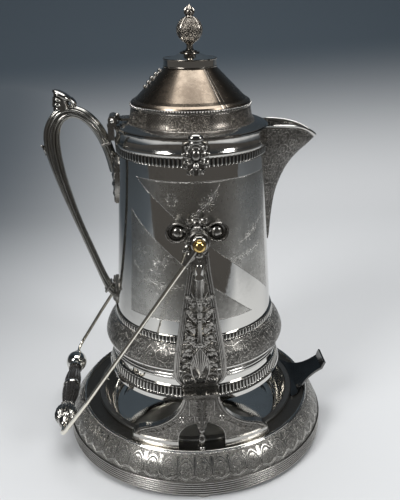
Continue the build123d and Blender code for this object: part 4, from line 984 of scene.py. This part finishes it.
def handle_bar():
    bm = bmesh.new()
    reeds = ((0.30, 0.0, 4.6), (0.70, 0.0, 4.6), (0.50, 0.0, 5.0), (0.13, 3.5, 1.75), (0.87, 3.5, 1.75),
             (0.10, 0.0, 2.1), (0.90, 0.0, 2.3), (0.31, 5.0, 1.25), (0.69, 5.0, 1.25), (0.0, 1.9, 1.1),
             (1.0, 1.9, 1.1))
    for share, y, thick in reeds:
        for side in ((1, -1) if y else (1,)):
            slim = [thick * (0.62 + 0.38 * min(1.0, max(0, i - 7) / 5)) for i in range(len(HANDLE_PAIRS))]
            join(bm, rod(handle_line(share, side * y), slim, 12, steps=3))
    return bm


def handle_cords():
    """Twisted cords in the sides and a row of fine beads down the back."""
    bm = bmesh.new()
    for side in (1, -1):
        for i, (place, way) in enumerate(spaced(handle_line(0.5, side * 5.3), 2.3)):
            if i < 4:
                continue
            bead = bmesh.new()
            bmesh.ops.create_icosphere(bead, subdivisions=1, radius=1.0 * MM)
            tilt = way.rotation_difference(Vector((1, 0, 0))).inverted().to_matrix().to_4x4()
            join(bm, placed(bead, moved(*place) @ tilt @ Matrix.Rotation(0.7, 4, "Y")
                            @ Matrix.Diagonal((1.5, 0.7, 0.75, 1))))
    for place, _ in spaced(handle_line(1.03, 0.0), 2.1)[4:-30]:
        bead = bmesh.new()
        bmesh.ops.create_icosphere(bead, subdivisions=1, radius=0.95 * MM)
        join(bm, placed(bead, moved(*place)))
    return bm


handle_metal = plated("reeded handle", bright=(0.44, 0.43, 0.40), dull=(0.12, 0.115, 0.105), amount=0.48,
                      sheen=0.15, crevice=1.3)
finished(handle_bar(), "handle_reeds", handle_metal, "pitcher", ("handle",))
dark_cord = plated("dark cords", bright=(0.34, 0.33, 0.31), dull=(0.08, 0.076, 0.07), amount=0.6, sheen=0.3,
                   crevice=1.3)
finished(handle_cords(), "handle_cords", dark_cord, "pitcher")
finish_node(cast, "handle_leaf_upper", "handle_leaf_lower", "hinge_bracket", "lid_leaf")
TO_HANDLE = Matrix.Rotation(math.radians(-90), 4, "Z")     # turns the front to the handle side


def handle_trim():
    """The leaves on the sheaths, collars where the bar meets them, and a small leaf outside the bend."""
    bm = bmesh.new()
    for z, long, wide, angle, lift in ((331.0, 51.0, 19.0, 270, 82.6), (166.0, 27.0, 17.0, 90, 89.8),
                                       (172.0, 12.0, 12.0, 270, 91.6)):
        lay_leaf(bm, (long, wide, 0.06, 1.6, 5), (0, -lift, z), angle, 1, TO_HANDLE)
    for s in (1, -1):
        lay_leaf(bm, (24.0, 9.0, 0.1, 1.4, 3), (s * 4.6, -82.6, 332.0), 270 + s * 9, 1, TO_HANDLE)
        join(bm, placed(spiral(2.6, 1.7, 0.9), TO_HANDLE @ facing(s * 6.2, -84.6, 334.4, 90 - s * 40)))
    for share in (0.2, 0.8):
        for i in (2, 19):
            a, b = HANDLE_PAIRS[i]
            x, z = a[0] + (b[0] - a[0]) * share, a[1] + (b[1] - a[1]) * share
            join(bm, placed(ball(3.4, 16, (1.0, 1.9, 0.62)), moved(x, 0, z)))
    for i in (2, 19):
        a, b = HANDLE_PAIRS[i]
        across = Vector((b[0] - a[0], 0, b[1] - a[1]))
        ring = block(across.length + 3.0, 15.6, 2.6, 0.9, 3)
        turn = Vector((1, 0, 0)).rotation_difference(across).to_matrix().to_4x4()
        join(bm, placed(ring, moved((a[0] + b[0]) / 2, 0, (a[1] + b[1]) / 2) @ turn))
    for z, angle in ((336.0, 90), (338.0, 62), (334.0, 118)):
        lay_leaf(bm, (11.0, 6.0, 0.6, 1.2, 2), (0, -154.6, z), angle, 6, TO_HANDLE)
    return bm


def thumb_lobes():
    bm = bmesh.new()
    for x, z, high, wide in ((-137.4, 383.6, 3.0, 7.4), (-138.0, 388.4, 3.2, 8.4), (-137.4, 393.2, 3.2, 8.6),
                             (-136.0, 397.6, 3.0, 7.8)):
        lobe = moved(x + 1.2, 0, z) @ Matrix.Rotation(0.3, 4, "Y")
        join(bm, placed(ball(1.0, 24, (6.2, wide, high)), lobe))
        for y in (-0.62, 0.0, 0.62):
            groove = [(x - 3.6, wide * y, z - high * 0.7), (x - 4.9 + abs(y) * 1.6, wide * y, z),
                      (x - 3.4, wide * y, z + high * 0.7)]
            join(bm, rod(groove, [0.5, 0.8, 0.5], 8))
    join(bm, rod([(-132, 0, 382.0), (-133.4, 0, 387.0), (-133.4, 0, 393.0), (-132.6, 0, 396.0)],
                 [7.6, 7.4, 7.0, 5.6], 24))
    cap = placed(ball(1.0, 32, (11.4, 8.2, 4.0)), moved(-131.8, 0, 396.6) @ Matrix.Rotation(0.52, 4, "Y"))
    join(bm, cap)
    curl = rod([(-124.4, 0, 393.0), (-121.0, 0, 390.0), (-119.8, 0, 387.0), (-121.6, 0, 385.2),
                (-123.6, 0, 386.6), (-122.4, 0, 388.0)],
               [3.0, 2.6, 2.2, 1.8, 1.4], 14)
    for v in curl.verts:
        v.co.y *= 1.9
    return join(bm, curl)


finished(handle_trim(), "handle_trim", cast, "pitcher")
finished(thumb_lobes(), "thumb_lobes", handle_metal, "pitcher", ("thumb_piece",))

# ---- Lid: a spun cone on an engraved drum, with a row of stamped pellets, a polished cap and a turned
# finial. Its brownish satin is divided by faint double lines.
PELLETS = 136


def pellet_ring():
    return turned([(60.9, 385.35), (63.2, 385.35), (63.4, 385.8), (62.3, 386.0), (62.3, 388.1), (63.0, 388.3),
                   (62.8, 388.6), (60.9, 388.6)], PELLETS)


def pellets():
    bm = bmesh.new()
    for i in range(PELLETS):
        around_lid = Matrix.Rotation(math.tau * i / PELLETS, 4, "Z")
        join(bm, placed(block(1.8, 1.9, 2.3, 0.35, 1), around_lid @ moved(62.9, 0, 387.05)))
    return bm


finished(pellet_ring(), "pellet_ring", dark_cord, "lid", ("lid_bead_band",), "bright_silver", 30)
finished(pellets(), "stamped_pellets", plated("stamped pellets", amount=0.2, sheen=0.14, crevice=0.3), "lid",
         slot="bright_silver")


def lid_engraving(tree):
    """Patches of flowers and of diamond lattice that take turns round the drum, on a plain flange."""
    turn, height, radius = around(tree)
    side = radius.ramp(0.0672, 0.0680, 1.0, 0.0) * height.ramp(0.3838, 0.3846, 1.0, 0.0)
    raised, _ = flowers(tree, turn * 0.064, height, 150.0, 0.12)
    first = (turn * 0.064 + height) * 330.0
    second = (turn * 0.064 - height) * 330.0
    lattice = first.op("FRACT").near(0.5, 0.16).op("MAXIMUM", second.op("FRACT").near(0.5, 0.16))
    patch = (turn * 6.0 + 0.6).op("COSINE").ramp(0.35, 0.45)
    frame_line = (turn * 6.0 + 0.6).op("COSINE").near(0.33, 0.1)
    lines = (lattice * patch + raised * (1.0 - patch)).op("MAXIMUM", frame_line)
    return lines * side, side * (0.62 - lines * 0.5), (1.0 - side) * 0.5


BROWN = (0.225, 0.185, 0.145)
finish_node(plated("engraved drum", bright=(0.36, 0.33, 0.29), dull=(0.13, 0.113, 0.095), sheen=0.2, depth=0.0005,
                   pattern=lid_engraving), "lid_drum")


def cone_lines(tree):
    """Faint double lines that divide the cone into panels."""
    turn, _, _ = around(tree)
    away = (turn * 3.0).op("COSINE")
    return -away.near(-0.992, 0.006), away * 0.0, away.near(-0.992, 0.006) * 0.35


finish_node(plated("brown satin", bright=BROWN, dull=(0.13, 0.10, 0.075), amount=0.5, sheen=0.22, crevice=0.4,
                   pattern=cone_lines), "lid_cone")


def finial_engraving(tree):
    turn, height, _ = around(tree)
    on_ball = height.ramp(0.4484, 0.4490) * height.ramp(0.4700, 0.4706, 1.0, 0.0)
    raised, ground = flowers(tree, turn * 0.013, height, 170.0, 0.13)
    return raised * on_ball, on_ball * ground * 0.75, (1.0 - on_ball) * 0.1


finish_node(plated("engraved finial", bright=(0.36, 0.325, 0.28), dull=(0.11, 0.092, 0.073), sheen=0.19,
                   depth=0.0005,
                   pattern=finial_engraving), "finial")


def lid_trim():
    """Rings under the ball, ribs on it and on the bud, and beads round the cap; the small cast crest is lid_crest.
    """
    bm = bmesh.new()
    for low, wide, high in ((436.6, 10.4, 1.5), (438.0, 7.6, 1.3), (446.2, 5.6, 1.0), (471.2, 4.9, 1.0)):
        ring = [(wide - 3.2, low), (wide - 0.5, low), (wide, low + high * 0.5), (wide - 0.5, low + high),
                (wide - 3.2, low + high)]
        join(bm, turned(ring, 40))
    for i in range(4):
        outline = ((4.7, 446.8), (9.5, 449.4), (12.7, 454.0), (13.6, 459.4), (12.3, 464.8), (8.9, 469.3),
                   (4.3, 471.8))
        meridian = [(r, 0, z) for r, z in outline]
        join(bm, placed(rod(meridian, 0.5, 8, steps=5), Matrix.Rotation(math.pi * (i / 2 + 0.25), 4, "Z")))
    for i in range(10):
        bud = [(r, 0, z) for r, z in ((3.8, 473.2), (5.1, 475.2), (4.9, 477.4), (2.6, 480.2), (0.5, 482.6))]
        join(bm, placed(rod(bud, [0.5, 0.8, 0.7, 0.3], 6), Matrix.Rotation(math.tau * i / 10, 4, "Z")))
    for low, wide in ((423.8, 27.7), (431.0, 27.6)):
        join(bm, turned([(wide - 1.5, low), (wide, low), (wide + 0.3, low + 0.6), (wide, low + 1.2),
                         (wide - 1.5, low + 1.2)], 64))
    return bm


finished(lid_trim(), "lid_trim", plated("brownish trim", bright=(0.42, 0.385, 0.34), dull=(0.14, 0.12, 0.1),
                                        sheen=0.16, crevice=1.0), "lid",
         slot="bright_silver")


def lid_crest():
    bm = bmesh.new()
    slope = [(-47.0, 404.2), (-43.2, 408.2), (-39.4, 412.2), (-35.4, 416.2), (-31.6, 420.0)]
    for i, (x, z) in enumerate(slope):
        join(bm, placed(ball(2.7 - abs(i - 2) * 0.35, 14, (1, 1.15, 1)), moved(x, 0, z)))
        for s in (1, -1):
            join(bm, placed(ball(1.1, 10), moved(x + 1.6, s * 2.7, z + 0.2)))
    return join(bm, rod([(x + 0.8, 0, z - 2.0) for x, z in slope], 2.2, 12))


finished(lid_crest(), "lid_crest", cast, "lid", ("lid_ornament",))

# ---- Bail: a bright drawn rod bent to a hoop, with a leafy eye at each end that hangs on the pivots, and
# a two-part ebonised grip between turned metal balls that spins on it.
BAIL_ANGLE = math.degrees(math.atan2(-226.0, -151.0))


def bail_eye_casting():
    bm = bmesh.new()
    ring = turned([(4.15, 0.0), (7.9, 0.0), (8.5, 0.7), (8.5, 3.4), (7.8, 4.6), (6.4, 5.2), (6.0, 4.6),
                   (6.0, 3.6), (4.15, 3.6)], 48)
    join(bm, placed(ring, facing(0, -115.0, PIVOT_Z)))
    aim = Vector((math.cos(math.radians(BAIL_ANGLE)), 0, math.sin(math.radians(BAIL_ANGLE))))
    for start, long, wide, lean, lift in ((7.0, 17.0, 8.0, 0, 117.6), (6.0, 12.0, 7.0, 34, 117.0),
                                          (6.0, 12.0, 7.0, -34, 117.0), (5.0, 9.0, 6.0, 66, 116.6),
                                          (5.0, 9.0, 6.0, -66, 116.6)):
        at = Vector((0, 0, PIVOT_Z)) + Matrix.Rotation(math.radians(-lean), 3, "Y") @ aim * start
        lay_leaf(bm, (long, wide, 0.25, 1.5, 2), (at.x, -lift, at.z), BAIL_ANGLE + lean, 1)
    neck = [Vector((0, -117.6, PIVOT_Z)) + aim * r for r in (7.0, 13.0, 19.0, 25.0)]
    return join(bm, rod([tuple(p) for p in neck], [3.0, 3.2, 2.8, 2.5], 14))


eye_metal = plated("bail eye", bright=(0.42, 0.405, 0.375), dull=(0.12, 0.113, 0.103), amount=0.46, sheen=0.16,
                   crevice=1.2)
both_sides(bail_eye_casting, "bail_eye_casting", eye_metal, "bail", "bail_eye")


def grip_part(profile, flutes, depth, keep, steps=96):
    """A turned piece on the grip's line, fluted round where it is wider than keep."""
    bm = turned(profile, steps)
    for v in bm.verts:
        radius, turn = math.hypot(v.co.x, v.co.y), math.atan2(v.co.y, v.co.x)
        if radius > keep * MM:
            push(v, radius - depth * MM * (0.5 - 0.5 * math.cos(turn * flutes)))
    return placed(bm, moved(-151.0, 0, 47.0) @ Matrix.Rotation(math.pi / 2, 4, "X"))


BARREL = [
    (2.35, 2.8), (9.2, 2.8), (9.6, 4.4), (9.9, 9.0), (9.8, 14.0), (9.2, 20.0), (8.4, 26.0), (7.6, 31.0),
    (7.1, 35.0), (7.0, 37.4), (8.0, 38.0), (8.0, 39.6), (2.35, 39.6)]
GADROON = [
    (2.35, 40.2), (7.2, 40.2), (8.4, 41.4), (8.0, 43.0), (7.0, 43.8), (7.2, 46.0), (9.6, 47.8), (11.4, 50.4),
    (12.5, 54.0), (12.8, 58.0), (12.5, 62.0), (11.2, 65.4), (9.0, 67.8), (6.6, 69.0), (6.4, 71.0), (7.0, 71.8),
    (6.2, 74.6), (5.0, 77.4), (3.6, 79.4), (2.35, 79.8)]


def wood_rings(tree):
    """Close grain that shows faintly through black polish."""
    x, y, z = here(tree)
    grain = texture(tree, "ShaderNodeTexNoise", gather(tree, x * 900.0, y * 90.0, z * 900.0), 0, Scale=1.0,
                    Detail=3.0)
    return grain, grain.ramp(0.4, 0.7) * 0.5, None


ebony = plated("ebonised wood", bright=(0.040, 0.035, 0.031), dull=(0.015, 0.013, 0.012), amount=0.5, sheen=0.20,
               crevice=0.6,
               pattern=wood_rings, depth=0.0001)
for label, value in (("Metallic", 0.0), ("Coat Weight", 0.5), ("Coat Roughness", 0.12)):
    ebony.node_tree.nodes["Principled BSDF"].inputs[label].default_value = value
both_sides(lambda: grip_part(BARREL, 16, 0.9, 6.6), "grip_flutes", ebony, "grip", "grip_barrel",
           slot="ebonised_wood")
ball_metal = plated("gadrooned ball", bright=(0.46, 0.445, 0.415), dull=(0.13, 0.123, 0.113), amount=0.4,
                    sheen=0.13, crevice=1.3)
finished(grip_part(GADROON, 24, 1.1, 7.4, 144), "grip_gadroon_front", ball_metal, "grip", ("grip_ball_front",),
         "bright_silver")

# ---- The studio: a pale table top that sweeps up behind, with a painted pool of light round the pitcher
# and painted shade up the sweep, to the sides and at the front edge; two soft boxes in front, one
# overhead, and the camera. None of it belongs to the pitcher.
SWEEP_BACK, SWEEP_RISE, FLOOR_FRONT, HALF_WIDTH = 0.75, 0.5, -0.50, 2.4
sweep = bmesh.new()
outline = [(FLOOR_FRONT, 0.0), (SWEEP_BACK, 0.0)]
outline += [(SWEEP_BACK + SWEEP_RISE * math.sin(a), SWEEP_RISE - SWEEP_RISE * math.cos(a))
            for a in (math.radians(9 * i) for i in range(1, 11))]
outline += [(SWEEP_BACK + SWEEP_RISE, 2.6)]
edge = [sweep.verts.new((-HALF_WIDTH, y, z)) for y, z in outline]
edge_lines = [sweep.edges.new(pair) for pair in zip(edge, edge[1:])]
pulled = bmesh.ops.extrude_edge_only(sweep, edges=edge_lines)
bmesh.ops.translate(sweep, verts=[v for v in pulled["geom"] if isinstance(v, bmesh.types.BMVert)],
                    vec=(2 * HALF_WIDTH, 0, 0))
paper = bpy.data.materials.new("pale paper")
paper.use_nodes = True
paper_tree, sheet = paper.node_tree, paper.node_tree.nodes["Principled BSDF"].inputs
px, py, pz = here(paper_tree)
# painted light and shade on the paper: it stays pale in a pool round the pitcher and is painted dark up the sweep,
# to the left, to the right and towards the front edge
painted_shade = (pz + py * 0.10 - px * 0.06).ramp(0.02, 0.45)
left = (py * 0.42 - px).ramp(0.10, 0.95) * 0.95
painted_shade_right = px.ramp(0.50, 0.95) * 0.8
near = (-py).ramp(0.30, 0.48) * 0.6
painted_shade = painted_shade.op("MAXIMUM", left).op("MAXIMUM", painted_shade_right).op("MAXIMUM", near)
grey = blend_colour(paper_tree, painted_shade, (0.73, 0.74, 0.75), (0.060, 0.078, 0.096))
paper_tree.links.new(grey, sheet["Base Color"])
sheet["Roughness"].default_value = 0.75
sheet["Specular IOR Level"].default_value = 0.15
as_object(sweep, "table_sweep", paper)


def soft_box(name, place, size, power, aim=(0.0, 0.0, 0.2)):
    light = bpy.data.lights.new(name, "AREA")
    light.shape, light.size, light.size_y = "RECTANGLE", *size
    light.energy = power
    lamp = bpy.data.objects.new(name, light)
    lamp.location = place
    lamp.rotation_euler = (Vector(aim) - Vector(place)).to_track_quat("-Z", "Y").to_euler()
    bpy.context.scene.collection.objects.link(lamp)


soft_box("key light", (-1.05, -1.0, 1.25), (0.5, 0.7), 16.0)
soft_box("fill light", (1.2, -0.85, 1.05), (0.4, 0.6), 9.0)
soft_box("top light", (0.1, 0.25, 1.9), (1.5, 1.1), 26.0, aim=(0.1, 0.2, 0.0))

world = bpy.data.worlds.new("dim room")
bpy.context.scene.world = world
world.use_nodes = True
room = world.node_tree
_, _, up = split(room, room.nodes.new("ShaderNodeTexCoord").outputs["Generated"])
shade = blend_colour(room, up.ramp(-0.2, 0.7), (0.085, 0.08, 0.075), (0.035, 0.04, 0.045))
room.links.new(shade, room.nodes["Background"].inputs["Color"])
room.nodes["Background"].inputs["Strength"].default_value = 1.0

lens = bpy.data.cameras.new("camera")
lens.lens, lens.sensor_width, lens.clip_start = 47.93, 36.0, 0.05
camera = bpy.data.objects.new("camera", lens)
bpy.context.scene.collection.objects.link(camera)
camera.location = (-0.0350, -0.7025, 0.5026)
look = Vector((0.0567, 0.9263, -0.3723)).to_track_quat("-Z", "Y")
camera.rotation_mode = "QUATERNION"
camera.rotation_quaternion = look @ Matrix.Rotation(math.radians(-0.69), 4, "Z").to_quaternion()
bpy.context.scene.camera = camera
bpy.context.scene.view_settings.view_transform = "Standard"
